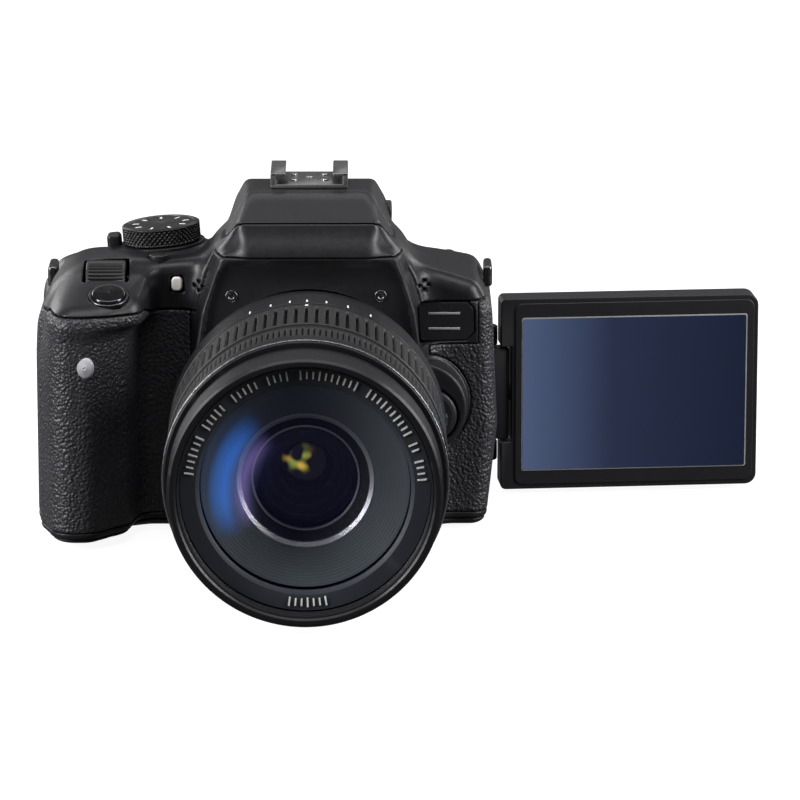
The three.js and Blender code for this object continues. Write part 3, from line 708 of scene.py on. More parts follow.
def brow(x, y):
    """How much higher the rubber ends on the front of the grip than in the hollow beside it."""
    return 2.6 * np.clip((-y - 33) / 9, 0, 1) * (x < -30)


def grip_zone(p, loose=0.0):
    """Where the rubber lies: the grip and the right end of the front."""
    x, y, z = p
    grip = all_of(x + 33.4 - loose, y + 12 - loose, 5 - z - loose, z - 64.0 - brow(x, y) - loose)
    beside_badge = np.maximum(47.8 - x, z - 66.0)
    side = all_of(34 - x - loose, 5 - z - loose, np.minimum(z - 54.0, beside_badge) - loose)
    side = all_of(side, y + 20.5 - loose, 14.3 - np.hypot(x - RELEASE[0], z - RELEASE[1]) - loose)
    return np.minimum(grip, side)


def mount_zone(p, loose=0.0):
    x, y, z = p
    return all_of(np.abs(x) - 32 - loose, y + 33 - loose, z - LIP + 0.6 - loose)


def flash_zone(p, loose=0.0):
    """The lid of the hump, in front of the accessory shoe."""
    x, y, z = p
    side = [(-62, 91.2), (-41, 91.2), (-31, 85.0), (-20, 85.0), (-20, 125), (-62, 125)]
    return all_of(polygon(side, y, z) - loose, np.abs(x) - 40)


def door_zones(p, loose=0.0):
    terminal = block(p, (45, 60), (-19, 3), (12, 52), 1.5) - loose
    card = block(p, (-90, -72), (-6, 11), (16, 50), 1.5) - loose
    battery = block(p, (-74, -56), (-46.5, -12), (-9, 3.0), 1.5) - loose
    return terminal, card, battery


def shell(p, wall=WALL):
    d = body(p)
    return np.maximum(d, -(d + wall)), d


def port_hole(p):
    """The oval seat of the remote control window."""
    x, y, z = p
    return all_of((np.hypot((x + 62.2) / 1.05, (z - 52.6) / 1.3) - 2.8), y + 51)


def openings(p):
    """Everything that is cut out of the covers for the controls and the optics."""
    x, y, z = p
    dial = rod(p, 0, (-30, 69.6), 9.1, -63.4, -50.6, 0.6)
    cap = leaned(p, 0, CAP_TILT, CAP_AT)
    shutter = np.hypot(cap[0] - CAP_AT[0], cap[1] - CAP_AT[1])
    shutter = all_of(shutter - 5.6, -(cap[2] - CAP_AT[2] + 5))
    iso = all_of(np.hypot(x + 42.5, y + 25.2) - 3.0, 70 - z)
    throat = all_of(np.hypot(x, z - AXIS_Z) - 33.4, y + 20)
    window = block(p, WINDOW[0], (13, 40), WINDOW[1], 1.5)
    holes = [rod(p, 1, (cx, cz), r + 0.35, 13.4, 40) for cx, cz, r in
             ((-28.5, 69, 2.8), (40, 69, 2.8), (32.5, 69, 2.8), (-37.5, 14, 2.9), (-52, 11.5, 2.9),
              (-52, 33, 12.3))]
    latch = rod(p, 1, (34.1, 35.5), 7.9, -60, -36.0)
    lamp = block(p, (-39.2, -35.2), (-40, -28.9), (69.0, 74.0), 0.8)
    label = all_of(polygon(BADGE_SHAPE, x, z, 0.8) - 0.25, y + 29.2)
    port = port_hole(p)
    knob = all_of(np.hypot(y - 11, z - 84) - 3.6, x - 24.2, 19.4 - x)
    speaker = any_of(*[rod(p, 1, (cx + dx, cz + dz), 0.36, -60, -28.2, 0.1)
                       for cx, cz in ((-31.0, 71.2), (32.4, 71.2))
                       for dx, dz in ((-1.2, 0), (1.2, 0), (0, 1.2), (0, -1.2))])
    return any_of(dial, shutter, iso, throat, window, latch, lamp, label, port, knob, speaker, *holes)


BADGE_SHAPE = lifted([(31.4, 54.8), (44.4, 55.2), (46.6, 57.4), (46.4, 64.0), (44.8, 65.9), (30.6, 65.9)])
EDGE = 0.5


def cover(zone):
    """A field: the body's wall inside a zone, less the skins, doors and openings."""
    def field(p):
        wall, d = shell(p)
        bed = all_of(grip_zone(p, 0.12), -(d + SKIN + 0.1))
        cut = any_of(openings(p), *door_zones(p, 0.15))
        return smax(smax(wall, zone(p), EDGE), -np.minimum(cut, bed), EDGE)
    return field


def seam(x, y):
    """Height of the joint under the top cover; it is higher beside the badge and on the grip."""
    return SEAM + 2.2 * ((x > 20) & (y < SPLIT)) + brow(x, y)


def front_zone(p):
    x, y, z = p
    low = all_of(y - SPLIT + HALF_GAP, BASE_TOP + HALF_GAP - z, z - seam(x, y) + HALF_GAP)
    return np.minimum(low, all_of(mount_zone(p), BASE_TOP + HALF_GAP - z))


def top_zone(p):
    x, y, z = p
    return all_of(seam(x, y) + HALF_GAP - z, -mount_zone(p, 0.22), -flash_zone(p, 0.12))


def rear_zone(p):
    x, y, z = p
    return all_of(SPLIT + HALF_GAP - y, BASE_TOP + HALF_GAP - z, z - SEAM + HALF_GAP)


def base_field(p):
    wall, d = shell(p)
    cut = np.minimum(door_zones(p, 0.15)[2], rod(p, 2, (0, -15), 8.2, -9, 9))
    return smax(smax(d, p[2] - BASE_TOP + HALF_GAP, EDGE), -cut, EDGE)


def skin_field(side):
    def field(p):
        d = body(p)
        zone = all_of(grip_zone(p), p[0] * side)
        return smax(smax(d, zone, 0.7), -(d + SKIN), 0.2)
    return field


def door_field(index, wall=2.0):
    def field(p):
        d = body(p)
        return smax(smax(d + 0.02, door_zones(p, -0.15)[index], EDGE), -(d + wall), 0.2)
    return field


def top_field(p):
    """The top cover also has the floor of the flash well."""
    outer = cover(top_zone)(p)
    d = body(p)
    well = smax(smax(d + 0.3, block(p, (-40, 40), (-38.5, -18.6), (82.2, 84.0)), 0.3), p[2] - 84, 0.3)
    back = smax(d + 0.3, block(p, (-40, 40), (-19.7, -18.6), (82.2, 96)), 0.3)
    return any_of(outer, well, back)


def flash_field(p):
    d = body(p)
    hollow = all_of(d + 1.9, 86.5 - p[2])
    mouth = block(p, (-14.4, 14.4), (-37.9, -25.6), (70, 90.6), 0.5)
    return smax(smax(smax(d, flash_zone(p, -0.12), EDGE), -hollow, EDGE), -mouth, 0.2)


place(moulded("front_shell", cover(front_zone), (-79, -56, 2), (55, -8, 83)), BODY, MOULDED,
      "moulded_black", "front_cover")
place(moulded("top_shell", top_field, (-78, -56, 62), (55, 19, 98)), BODY, TOPSIDE,
      "moulded_black", "top_cover")
place(moulded("rear_shell", cover(rear_zone), (-80, -10, 2), (55, 19, 66)), BODY, MOULDED,
      "moulded_black", "rear_cover")
place(moulded("base_shell", base_field, (-79, -56, -1), (54, 17, 4)), BODY, MOULDED,
      "moulded_black", "base_cover")
place(moulded("grip_skin", skin_field(1), (-79, -56, 4), (-32, -10, 67)), BODY, PEBBLED,
      "grip_rubber", "grip_rubber")
place(moulded("side_skin", skin_field(-1), (32, -42, 4), (55, -18, 64)), BODY, PEBBLED,
      "grip_rubber", "side_rubber")
place(moulded("flash_lid", flash_field, (-30, -48, 83), (30, -18, 98)), "flash", TOPSIDE,
      "moulded_black", "flash_head")
place(moulded("terminal_flap", door_field(0), (44, -20, 11), (55, 4, 53)), "terminal_door", SOFT,
      "soft_rubber", "terminal_door")
place(moulded("card_flap", door_field(1), (-79, -7, 15), (-71, 12, 51)), "card_door", MOULDED,
      "moulded_black", "card_door")
place(moulded("battery_flap", door_field(2), (-75, -48, -1), (-55, -11, 4)), "battery_door", MOULDED,
      "moulded_black", "battery_door")


# ---- Lens -----------------------------------------------------------------------------------------
def on_lens(corners):
    """(radius, y) corners turned into (radius, height) for the lens frame."""
    return [(c[0], -c[1], *c[2:]) for c in corners]


def ribbing(count, low, high, depth, share=0.62):
    """Straight grooves between two heights; share is how much of each period stays raised."""
    def sink(angle, height):
        phase = np.abs((angle * count / (2 * math.pi)) % 1 - 0.5) * 2
        groove = np.clip((phase - share) / 0.12, 0, 1)
        ends = np.clip((height - low) / 0.5, 0, 1) * np.clip((high - height) / 0.5, 0, 1)
        return depth * groove * ends
    return sink


turned_part("lens_body", on_lens([
    (26.6, -40), (26.6, -44.3), (32.6, -44.3), (33.4, -47), (33.6, -50.5, 1), (36.2, -58.5, 3),
    (37.6, -62, 2), (38.2, -68, 2), (38.2, -79.9, 0.5), (34.3, -79.9), (34.3, -118), (37.9, -118, 0.4),
    (37.9, -125.6, 0.6), (31.8, -125.6), (31.8, -52), (24.8, -50), (24.8, -40)]), LENS,
    "lens", LENS_BLACK, "lens_black", "lens_barrel", radius=0.3, segments=224)
def rib_rows(before, low, middle, high, after):
    """Heights of the extra rings that ribs between low and high need."""
    return (before, low, low + 0.25, low + 0.55, middle, high - 0.55, high - 0.25, high, after)


turned_part("zoom_grip", on_lens([
    (34.7, -80.3), (38.0, -80.3, 0.5), (38.0, -104.2, 0.5), (37.3, -104.3, 0.2), (37.3, -106.4, 0.3),
    (34.7, -106.4)]), LENS, "zoom_ring", ZOOM_RUBBER, "ring_rubber", "zoom_ring",
    segments=84 * 14, parts=3, rows=rib_rows(82.9, 83.4, 93, 103.2, 103.7),
    ribs=ribbing(84, 83.4, 103.2, 1.1, 0.62))
turned_part("focus_grip", on_lens([
    (34.7, -107.0), (37.6, -107.0, 0.4), (37.6, -117.5, 0.4), (34.7, -117.5)]), LENS,
    "focus_ring", FOCUS_RUBBER, "ring_rubber", "focus_ring",
    segments=150 * 8, parts=3, rows=rib_rows(107.5, 107.9, 112, 116.6, 117),
    ribs=ribbing(150, 107.9, 116.6, 0.5, 0.5))
turned_part("front_barrel", on_lens([
    (35.6, -140, 0.5), (36.4, -139.2, 0.4), (36.4, -126), (31.4, -126), (31.4, -84), (28.8, -84),
    (28.8, -129), (28.6, -132.5), (33.6, -132.5), (33.9, -139.4, 0.3), (34.5, -140, 0.3)]), LENS,
    "zoom_tube", LENS_BLACK, "lens_black", "inner_barrel", radius=0.3, segments=224)
threads = []
for i in range(6):
    front = -135.2 - i * 0.72
    thread = on_lens([(33.75, front), (33.15, front - 0.3), (33.75, front - 0.6)])
    threads.append(turned(f"thread_{i}", thread, LENS, 0.06, parts=2))
place(joined("filter_thread", threads), "zoom_tube", LENS_BLACK, "lens_black")
turned_part("front_ring", on_lens([
    (27.9, -132.4), (27.9, -133.6, 0.5), (28.9, -134.2, 0.3), (33.3, -134.3, 0.3), (33.3, -132.4)]), LENS,
    "zoom_tube", RING_BLACK, "name_ring_black", "name_ring", radius=0.2, segments=192)
turned_part("silver_line", on_lens([
    (37.7, -124.9), (38.18, -124.9, 0.1), (38.18, -123.9, 0.1), (37.7, -123.9)]), LENS,
    "lens", STEEL, "steel", radius=0.08, segments=224)


def dome(name, to, radius, sag, edge, back, segments=128, rings=28):
    """A lens element: a spherical front that bulges by sag, with its rim at edge and a flat back."""
    bend = (radius ** 2 + sag ** 2) / (2 * sag)
    profile = []
    for i in range(rings + 1):
        r = radius * i / rings
        profile.append((max(r, 0.001), edge + math.sqrt(bend ** 2 - r ** 2) - (bend - sag)))
    profile += [(radius, back), (0.001, back)]
    angles = np.linspace(0, 2 * math.pi, segments, endpoint=False)
    matrix = np.array(to)
    points, normals, faces = [], [], []
    for r, h in profile:
        for a in angles:
            points.append((matrix @ (r * math.cos(a), r * math.sin(a), h, 1))[:3])
            up = math.sqrt(max(bend ** 2 - r ** 2, 0)) / bend
            local = (r / bend * math.cos(a), r / bend * math.sin(a), up)
            normals.append(matrix[:3, :3] @ (local if h > back + 1e-6 else (0, 0, -1)))
    for i in range(len(profile) - 1):
        for k in range(segments):
            n = (k + 1) % segments
            ring, after = i * segments, (i + 1) * segments
            faces.append((ring + k, after + k, after + n, ring + n))
    return mesh_piece(name, np.array(points) * MM, faces, np.array(normals))


PAINTED_REFLECTION_SIDE = math.radians(168)       # the painted reflection lies at this angle round the lens axis


def painted_reflection_coating():
    """The front coating: clear, with a blue and violet painted reflection that glows on one side."""
    material = coated_glass("lens_glass", (0.30, 0.36, 1.0), 0.03)
    tree = material.node_tree
    centre = (0.0025, 0, (AXIS_Z - 1.5) * MM)
    away = worked_out(tree, "VectorMath", "SUBTRACT", object_place(tree), centre)
    parts = node(tree, "SeparateXYZ", Vector=away)
    flat = node(tree, "CombineXYZ", X=parts.outputs["X"], Z=parts.outputs["Z"]).outputs["Vector"]
    reach = worked_out(tree, "VectorMath", "LENGTH", flat)
    # colours of the painted reflection, by distance from the lens axis
    tint = coloured(tree, spread(tree, reach, 0.015, 0.0285), (
        (0.0, (0, 0, 0)), (0.12, (0.02, 0.02, 0.05)), (0.30, (0.12, 0.09, 0.25)),
        (0.48, (0.03, 0.05, 0.16)), (0.66, (0.012, 0.10, 0.42)), (0.88, (0.004, 0.05, 0.2)),
        (1.0, (0.0, 0.004, 0.02))))
    towards = worked_out(tree, "VectorMath", "NORMALIZE", flat)
    painted_reflection_way = (math.cos(PAINTED_REFLECTION_SIDE), 0, math.sin(PAINTED_REFLECTION_SIDE))
    facing = worked_out(tree, "VectorMath", "DOT_PRODUCT", towards, painted_reflection_way)
    side = spread(tree, facing, 0.72, 1.0, 0, 0.46, interpolation_type="SMOOTHSTEP")
    # the painted reflection is emitted light, strongest on one side
    glow = node(tree, "Emission", Color=tint, Strength=side)
    total = node(tree, "AddShader")
    out = [n for n in tree.nodes if n.type == "OUTPUT_MATERIAL"][0]
    tree.links.new(out.inputs["Surface"].links[0].from_socket, total.inputs[0])
    tree.links.new(glow.outputs["Emission"], total.inputs[1])
    tree.links.new(total.outputs["Shader"], out.inputs["Surface"])
    return material


place(dome("front_glass", LENS, 27.9, 3.6, 132.0, 131.0), "zoom_tube", painted_reflection_coating(), "lens_glass",
      "front_element")
place(dome("middle_glass", LENS, 14.0, 3.2, 121.0, 118.5), "zoom_tube", INNER_GLASS, "optical_glass",
      "middle_lens_group")
place(dome("rear_glass", LENS, 15.0, 3.0, 56.0, 53.4), "lens", INNER_GLASS, "optical_glass",
      "rear_lens_group")
steps = 12
baffles = []
for i in range(steps):
    r = 27.6 - (27.6 - 18.6) * i / steps
    y = -130.4 + 4.9 * i / steps
    step = on_lens([(r - 0.86, y), (r + 0.1, y - 0.25), (r + 0.1, y + 1.4), (r - 0.86, y + 1.4)])
    baffles.append(turned(f"baffle_{i}", step, LENS, 0.09, parts=2))
place(joined("lens_baffles", baffles), "zoom_tube", BAFFLE, "lens_black")
turned_part("lens_retainer", on_lens([
    (17.0, -124.6, 0.3), (18.3, -125.7, 0.5), (18.8, -124.9), (18.8, -121), (17.0, -121)]), LENS,
    "zoom_tube", RETAINER, "lens_black", radius=0.2)
turned_part("inner_cone", on_lens([(14.2, -121.8), (17.2, -124.0), (17.2, -122.0), (14.2, -119.8)]), LENS,
            "zoom_tube", INNER, "lens_black", radius=0.2)
turned_part("inner_ring", on_lens([(13.9, -122.3), (14.5, -122.3), (14.5, -121.0), (13.9, -121.0)]), LENS,
            "zoom_tube", RETAINER, "lens_black", radius=0.15)
depths = []
for i, (r, y) in enumerate(((11.6, -117.5), (9.4, -114), (7.2, -110))):
    step = on_lens([(r, y), (14.2, y + 0.5), (14.2, y + 1.5), (r, y + 1)])
    depths.append(turned(f"depth_{i}", step, LENS, 0.2, 128, 3))
place(joined("inner_steps", depths), "zoom_tube", LENS_BLACK, "lens_black")


def inner_glass_painted_glints():
    """The inner elements: nearly black, with warm and green painted glints that glow."""
    material = finish_of("inner_element", (0.006, 0.005, 0.005), 0.08, 500, 0.00001, coat=0.6, bump=0.03,
                         wear=0)
    tree = material.node_tree
    where = object_place(tree)
    middle = (-0.0018, -0.109, (AXIS_Z + 2.2) * MM)
    away = worked_out(tree, "VectorMath", "DISTANCE", where, middle)
    near = spread(tree, away, 0.0052, 0.0015, interpolation_type="SMOOTHSTEP")
    patches = node(tree, "TexNoise", Vector=where, Scale=330.0, Detail=0.0).outputs["Fac"]
    bright = spread(tree, patches, 0.46, 0.80, interpolation_type="SMOOTHSTEP")
    hue = node(tree, "TexNoise", Vector=where, Scale=260.0, Detail=0.0).outputs["Fac"]
    tint = coloured(tree, hue, ((0.4, (0.30, 0.36, 0.05)), (0.6, (0.85, 0.55, 0.08))))
    shader = shader_of(material)
    # painted glints: warm and green emitted patches near the middle of the element
    tree.links.new(tint, shader.inputs["Emission Color"])
    tree.links.new(worked_out(tree, "Math", "MULTIPLY", near, bright), shader.inputs["Emission Strength"])
    return material


place(dome("deep_glass", LENS, 8.6, 2.4, 108.0, 106.5), "zoom_tube", inner_glass_painted_glints(), "optical_glass")
turned_part("group_cell", on_lens([(18.8, -88.5), (28.4, -88.5), (28.4, -99), (18.9, -97)]), LENS,
            "zoom_tube", INNER, "inner_black", radius=0.3, segments=128)
turned_part("rear_cell", on_lens([(14.8, -52.2), (24.4, -52.2), (24.4, -60.5), (15, -59.5)]), LENS,
            "lens", INNER, "inner_black", radius=0.3, segments=128)


def ring_marks(name, radius, height, angles, width, length, lift=0.06):
    """Painted strokes on the outside of a barrel, each a thin curved patch."""
    points, faces = [], []
    for angle in angles:
        for side in range(5):
            a = angle + (side / 4 - 0.5) * width / radius
            for h in (height - length / 2, height + length / 2):
                r = radius + lift
                points.append((r * math.sin(a), -h, AXIS_Z + r * math.cos(a)))
        base = len(points) - 10
        faces += [(base + 2 * i, base + 2 * i + 1, base + 2 * i + 3, base + 2 * i + 2) for i in range(4)]
    return mesh_piece(name, np.array(points) * MM, faces)


def ring_dashes():
    """Plain white dashes on the ring around the glass, where a maker prints the lens data."""
    dashes = []
    above = ((-82, -63), (-57, -42), (-37, -24), (-18, -8), (-2, 26), (33, 62), (67, 72), (76, 88))
    spans = [(*ends, 3.1) for ends in above] + [(170, 190, 3.0)]
    for low, high, step in spans:
        count = int((high - low) / step) + 1
        for i in range(count):
            turn = LENS @ Matrix.Rotation(math.radians(90 - low - i * step), 4, "Z")
            tall = 1.0 if i % 3 else 1.25
            across = (30.9 - tall, 30.9 + tall)
            dashes.append(bar(f"dash_{low}_{i}", across, (-0.22, 0.22), (134.2, 134.62), 0.03, turn, 1))
    return joined("ring_dashes", dashes)


place(ring_dashes(), "zoom_tube", PAINT, "name_ring_black")
scale_marks = ring_marks("focal_marks", 38.2, 77.6, [math.radians(a) for a in (-24, -15, -7, 0, 8, 17, 27)],
                         0.45, 2.6)
place(scale_marks, "lens", PAINT, "lamp_white")
index_mark = ring_marks("index_mark", 38.0, 82.0, [0.0], 0.9, 1.6)
place(index_mark, "zoom_ring", PAINT, "lamp_white")
for label in ("focus_mode", "stabiliser"):
    switch = f"{label}_switch"
    sides = [(low / MM, high / MM) for low, high in zip(*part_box(switch))]
    place(bar(f"{label}_slider", *sides, 0.4), switch, BUTTON, "button_black", switch)


# ---- Front details --------------------------------------------------------------------------------
def finish_node(name, material, slot):
    """A CAD piece that is shown as it is, with a better surface."""
    piece = bpy.data.objects[name]
    piece.data.materials.clear()
    piece.data.materials.append(material)


LABEL_BACK = along("-y", 0, -29.0, 0)
place(plate("label_plate", ngon(BADGE_SHAPE, 0.8), 0, 0.75, LABEL_BACK, 0.25), BODY, BADGE,
      "badge", "badge_plate")
lines = [bar(f"label_bar_{i}", (33.6, 42.6), (z - 0.35, z + 0.35), (0.6, 0.86), 0.08, LABEL_BACK)
         for i, z in enumerate((62.8, 58.4))]
place(joined("label_lines", lines), BODY, DIM_PAINT, "badge")
place(plate("focus_lamp", ngon(rectangle((-38.7, -35.7), (69.5, 73.5)), 1.2), 0, 2.2,
            along("-y", 0, -28.6, 0), 0.6), BODY, LAMP, "lamp_white", "af_lamp")
OVAL = Matrix.Diagonal((1.05, 1.3, 1, 1))
turned_part("remote_lens", [(0, 0), (2.5, 0), (2.5, 1.7, 0.9), (0, 2.3)],
            along("-y", -62.2, -52.2, 52.6) @ OVAL, BODY, WINDOW_GREY, "lamp_white", "remote_window",
            radius=0.4, segments=64, parts=6)
screws = []
screw_head = [(0, 0), (1.75, 0), (1.75, 0.75, 0.35), (0.9, 0.85, 0.2), (0.5, 0.45), (0, 0.35)]
for i, (x, z) in enumerate(((-21.6, 70.4), (20.2, 70.4))):
    to = along("-y", x, -40.9, z)
    screws.append(turned(f"screw_{i}", screw_head, to, 0.12, 48))
    for turn in (0.3, 0.3 + math.pi / 2):
        spin = to @ Matrix.Rotation(turn, 4, "Z")
        screws.append(bar(f"cross_{i}_{turn:.1f}", (-1.05, 1.05), (-0.16, 0.16), (0.3, 0.72), 0.05, spin))
place(joined("panel_screws", screws), BODY, DARK_STEEL, "steel")
turned_part("release_button", [(0, 0), (7.5, 0), (7.5, 3.9, 0.9), (6.1, 4.4, 0.6), (0, 4.0)],
            along("-y", 34.1, -36.1, 35.5), "lens_release", BUTTON, "button_black", "lens_release_button",
            radius=0.4, segments=96)
turned_part("mount_plate", on_lens([(27.2, -44), (32.9, -44, 0.5), (32.9, -41.2), (27.2, -41.2)]), LENS,
            BODY, STEEL, "steel", "lens_mount", radius=0.3, segments=192)
finish_node("lens_lock_pin", STEEL, "steel")


# ---- Top controls ----------------------------------------------------------------------------------
DIAL_FRAME = Matrix.Translation(DIAL) @ Matrix.Rotation(DIAL_TILT, 4, "Y")
CAP_FRAME = Matrix.Translation(CAP_AT) @ Matrix.Rotation(CAP_TILT, 4, "X")


def knurl(count, low, high, depth):
    """Diamond pattern: two sets of slanting grooves."""
    def sink(angle, height):
        turn = angle * count / (2 * math.pi)
        lift = (height - low) / (high - low) * 3
        one = np.abs((turn + lift) % 1 - 0.5) * 2
        two = np.abs((turn - lift) % 1 - 0.5) * 2
        groove = np.clip((np.maximum(one, two) - 0.45) / 0.5, 0, 1)
        ends = np.clip((height - low) / 0.25, 0, 1) * np.clip((high - height) / 0.25, 0, 1)
        return depth * groove * ends
    return sink


dial_rows = [1.5 + 0.2 * i for i in range(24)]
turned_part("mode_wheel", [
    (0, 1.2), (10.6, 1.2), (11.1, 1.5), (11.1, 6.1, 0.3), (10.2, 6.5, 0.3), (9.3, 6.2), (0, 6.05)], DIAL_FRAME,
    "mode_dial", DIAL_BLACK, "dial_black", "mode_dial", radius=0.15, segments=480, parts=3,
    rows=dial_rows, ribs=knurl(48, 1.6, 6.0, 0.6))
marks = []
for i in range(9):
    turn = DIAL_FRAME @ Matrix.Rotation(2 * math.pi * i / 9 + 0.2, 4, "Z")
    marks.append(bar(f"dial_mark_{i}", (6.3, 8.2), (-0.32, 0.32), (6.0, 6.22), 0.04, turn, 1))
place(joined("mode_marks", marks), "mode_dial", PAINT, "dial_black")
turned_part("mode_rim", [(9.45, 6.0), (10.3, 6.0), (10.3, 6.56, 0.25), (9.45, 6.3, 0.1)], DIAL_FRAME,
            "mode_dial", DARK_STEEL, "dial_black", radius=0.08, segments=192)
lever_ring = [(10.2, 0.2), (12.2, 0.2), (12.2, 0.95, 0.3), (10.2, 0.95)]
lever = [turned("lever_ring", lever_ring, DIAL_FRAME, 0.2, 128),
         bar("lever_nub", (-15.6, -11.5), (-2.6, 2.6), (-0.8, 4.4), 1.2, DIAL_FRAME, 5)]
place(joined("switch_lever", lever), "power_lever", DIAL_BLACK, "dial_black", "power_lever")
turned_part("front_wheel", [(0, -5.5), (8.5, -5.5, 0.5), (8.5, 5.5, 0.5), (0, 5.5)],
            along("x", -57, -30, 69.6), "main_dial", DIAL_BLACK, "dial_black", "main_dial", radius=0.3,
            segments=44 * 10, rows=(-5.3, -5.0, -4.6, 4.6, 5.0, 5.3), ribs=ribbing(44, -5.1, 5.1, 0.8, 0.5))
turned_part("shutter_cap", [(0, -3.4), (4.7, -3.4), (4.7, 0.95, 0.6), (0, 1.2)], CAP_FRAME,
            "shutter_release", GLOSS, "shutter_gloss", "shutter_button", radius=0.3, segments=96, parts=6)
turned_part("shutter_seat", [(4.85, -1.0), (5.6, -1.0), (5.6, 0.25, 0.25), (4.85, 0.25, 0.15)], CAP_FRAME,
            BODY, DARK_STEEL, "button_black", radius=0.12, segments=128)
turned_part("speed_button", [(0, 75.2), (2.6, 75.2), (2.6, 79.0, 0.5), (0, 79.2)],
            along("z", -42.5, -25.2, 0), "iso_button", BUTTON, "button_black", "iso_button",
            radius=0.3, segments=64)
shoe = [bar("shoe_floor", (-10.9, 10.9), (-17.4, 2.4), (96.35, 97.4), 0.2)]
for side in (-1, 1):
    wall = sorted((9.5 * side, 10.95 * side))
    lip = sorted((6.7 * side, 10.95 * side))
    shoe.append(bar(f"shoe_wall_{side}", wall, (-17.4, 2.4), (97.2, 100.6), 0.25))
    shoe.append(bar(f"shoe_lip_{side}", lip, (-17.4, 2.4), (99.75, 100.65), 0.3))
place(joined("shoe", shoe), BODY, SHOE, "steel", "shoe_rails")
contacts = [turned(f"shoe_contact_{i}", [(0, 97.3), (1.0, 97.3), (1.0, 97.85, 0.3), (0, 97.9)],
                   along("z", x, y, 0), 0.1, 32)
            for i, (x, y) in enumerate(((0, -7), (-4.5, -3), (4.5, -3), (-4.5, -11), (4.5, -11)))]
place(joined("shoe_pins", contacts), BODY, STEEL, "steel", "shoe_contacts")


def lug_field(low, high):
    def field(p):
        plate_part = block(p, (low, high), (-7, 5), (65.4, 71.6), 1.0)
        slot = block(p, (low - 3, high + 3), (-4.4, 2.4), (67.2, 70.2), 1.0)
        return smax(plate_part, -slot, 0.4)
    return field


place(moulded("left_lug", lug_field(-75.0, -72.4), (-76, -8, 65), (-71, 6, 72), 0.4), BODY,
      DARK_STEEL, "steel", "strap_lug_left")
place(moulded("right_lug", lug_field(49.8, 52.2), (49, -8, 65), (53, 6, 72), 0.4), BODY,
      DARK_STEEL, "steel", "strap_lug_right")


# ---- Rear --------------------------------------------------------------------------------------------
def icon_bars(name, at, strokes, front):
    """Small painted strokes on the face of a rear button."""
    return [bar(f"{name}_{i}", (at[0] + a, at[0] + b), front, (at[1] + c, at[1] + d), 0.02, None, 1)
            for i, (a, b, c, d) in enumerate(strokes)]


ICONS = {
    "live_view": [(-1.2, 1.2, -0.8, -0.55), (-1.2, 1.2, 0.55, 0.8), (-1.2, -0.95, -0.8, 0.8),
                  (0.95, 1.2, -0.8, 0.8)],
    "menu": [(-1.3, 1.3, -0.12, 0.12), (-1.3, 1.3, 0.6, 0.84), (-1.3, 1.3, -0.84, -0.6)],
    "info": [(-0.14, 0.14, -0.9, 0.3), (-0.14, 0.14, 0.6, 0.9)],
    "playback": [(-0.8, -0.5, -0.9, 0.9), (-0.5, 0.1, -0.55, 0.55), (0.1, 0.8, -0.2, 0.2)],
    "erase": [(-0.7, 0.7, -0.9, -0.65), (-0.7, -0.45, -0.9, 0.5), (0.45, 0.7, -0.9, 0.5),
              (-0.9, 0.9, 0.6, 0.85)],
}
REAR_BUTTONS = {"live_view": (-28.5, 69, 2.8), "menu": (40, 69, 2.8), "info": (32.5, 69, 2.8),
                "playback": (-37.5, 14, 2.9), "erase": (-52, 11.5, 2.9)}
for label, (x, z, r) in REAR_BUTTONS.items():
    turned_part(f"{label}_cap", [(0, 12.2), (r, 12.2), (r, 16.0, 0.5), (0, 16.15)], along("y", x, 0, z),
                f"{label}_button", BUTTON, "button_black", f"{label}_button", radius=0.3, segments=64)
    strokes = icon_bars(f"{label}_stroke", (x, z), ICONS[label], (15.9, 16.17))
    place(joined(f"{label}_icon", strokes), f"{label}_button", PAINT, "button_black")
KEYS = along("y", -52, 0, 33)
turned_part("key_ring", [(6.5, 12.2), (12.0, 12.2), (12.0, 15.6, 0.7), (9.2, 16.0, 1.2), (6.5, 15.3, 0.4)],
            KEYS, "cross_keys", BUTTON, "button_black", "cross_keys", radius=0.3, segments=128)
arrows = []
for i in range(4):
    turn = KEYS @ Matrix.Rotation(math.pi / 2 * i, 4, "Z")
    arrows.append(plate(f"arrow_{i}", [(10.6, 0), (9.4, 0.9), (9.4, -0.9)], 15.8, 16.08, turn, 0, 1))
place(joined("key_arrows", arrows), "cross_keys", PAINT, "button_black")
turned_part("set_cap", [(0, 12.2), (6.0, 12.2), (6.0, 16.0, 0.6), (0, 16.2)], KEYS,
            "set_button", BUTTON, "button_black", "set_button", radius=0.3, segments=96)


def eyecup_field(p):
    ring = block(p, (-20, 20), (18.1, 24), (67, 91), 4)
    window = block(p, (-12.6, 12.6), (10, 40), (71.4, 86.6), 2)
    slope = block(p, (-16, 16), (22.0, 30), (69.5, 88.5), 3)
    return smax(smax(ring, -window, 1.0), -slope, 2.5)


place(moulded("eye_rubber", eyecup_field, (-21, 17, 66), (21, 25, 92), 0.55), BODY, SOFT, "soft_rubber",
      "eyecup")
place(plate("eye_glass", ngon(rectangle((-11.5, 11.5), (-85.5, -72.5)), 1.5), 13, 14.6, AXES["y"], 0.4),
      BODY, CLEAR, "optical_glass", "eyepiece_lens")
turned_part("diopter_wheel", [(0, 19.7), (3.2, 19.7, 0.4), (3.2, 23.5, 0.6), (0, 23.6)],
            along("x", 0, 11, 84), "diopter", BUTTON, "button_black", "diopter_knob", radius=0.3,
            segments=36 * 8, rows=(20.1, 20.4, 22.8, 23.1), ribs=ribbing(36, 20.2, 23.0, 0.3, 0.5))
knuckles = []
for i, (low, high) in enumerate(((9.7, 15.4), (44, 49.7))):
    knuckles.append(turned(f"knuckle_{i}", [(0, low), (3.3, low), (3.3, high), (0, high)],
                           along("z", *HINGE, 0), 0.4, 64))
    knuckles.append(bar(f"bracket_{i}", (47.9, 51.6), (6.2, 13), (low + 0.1, high - 0.1), 0.5))
place(joined("hinge_knuckles", knuckles), BODY, MOULDED, "moulded_black")
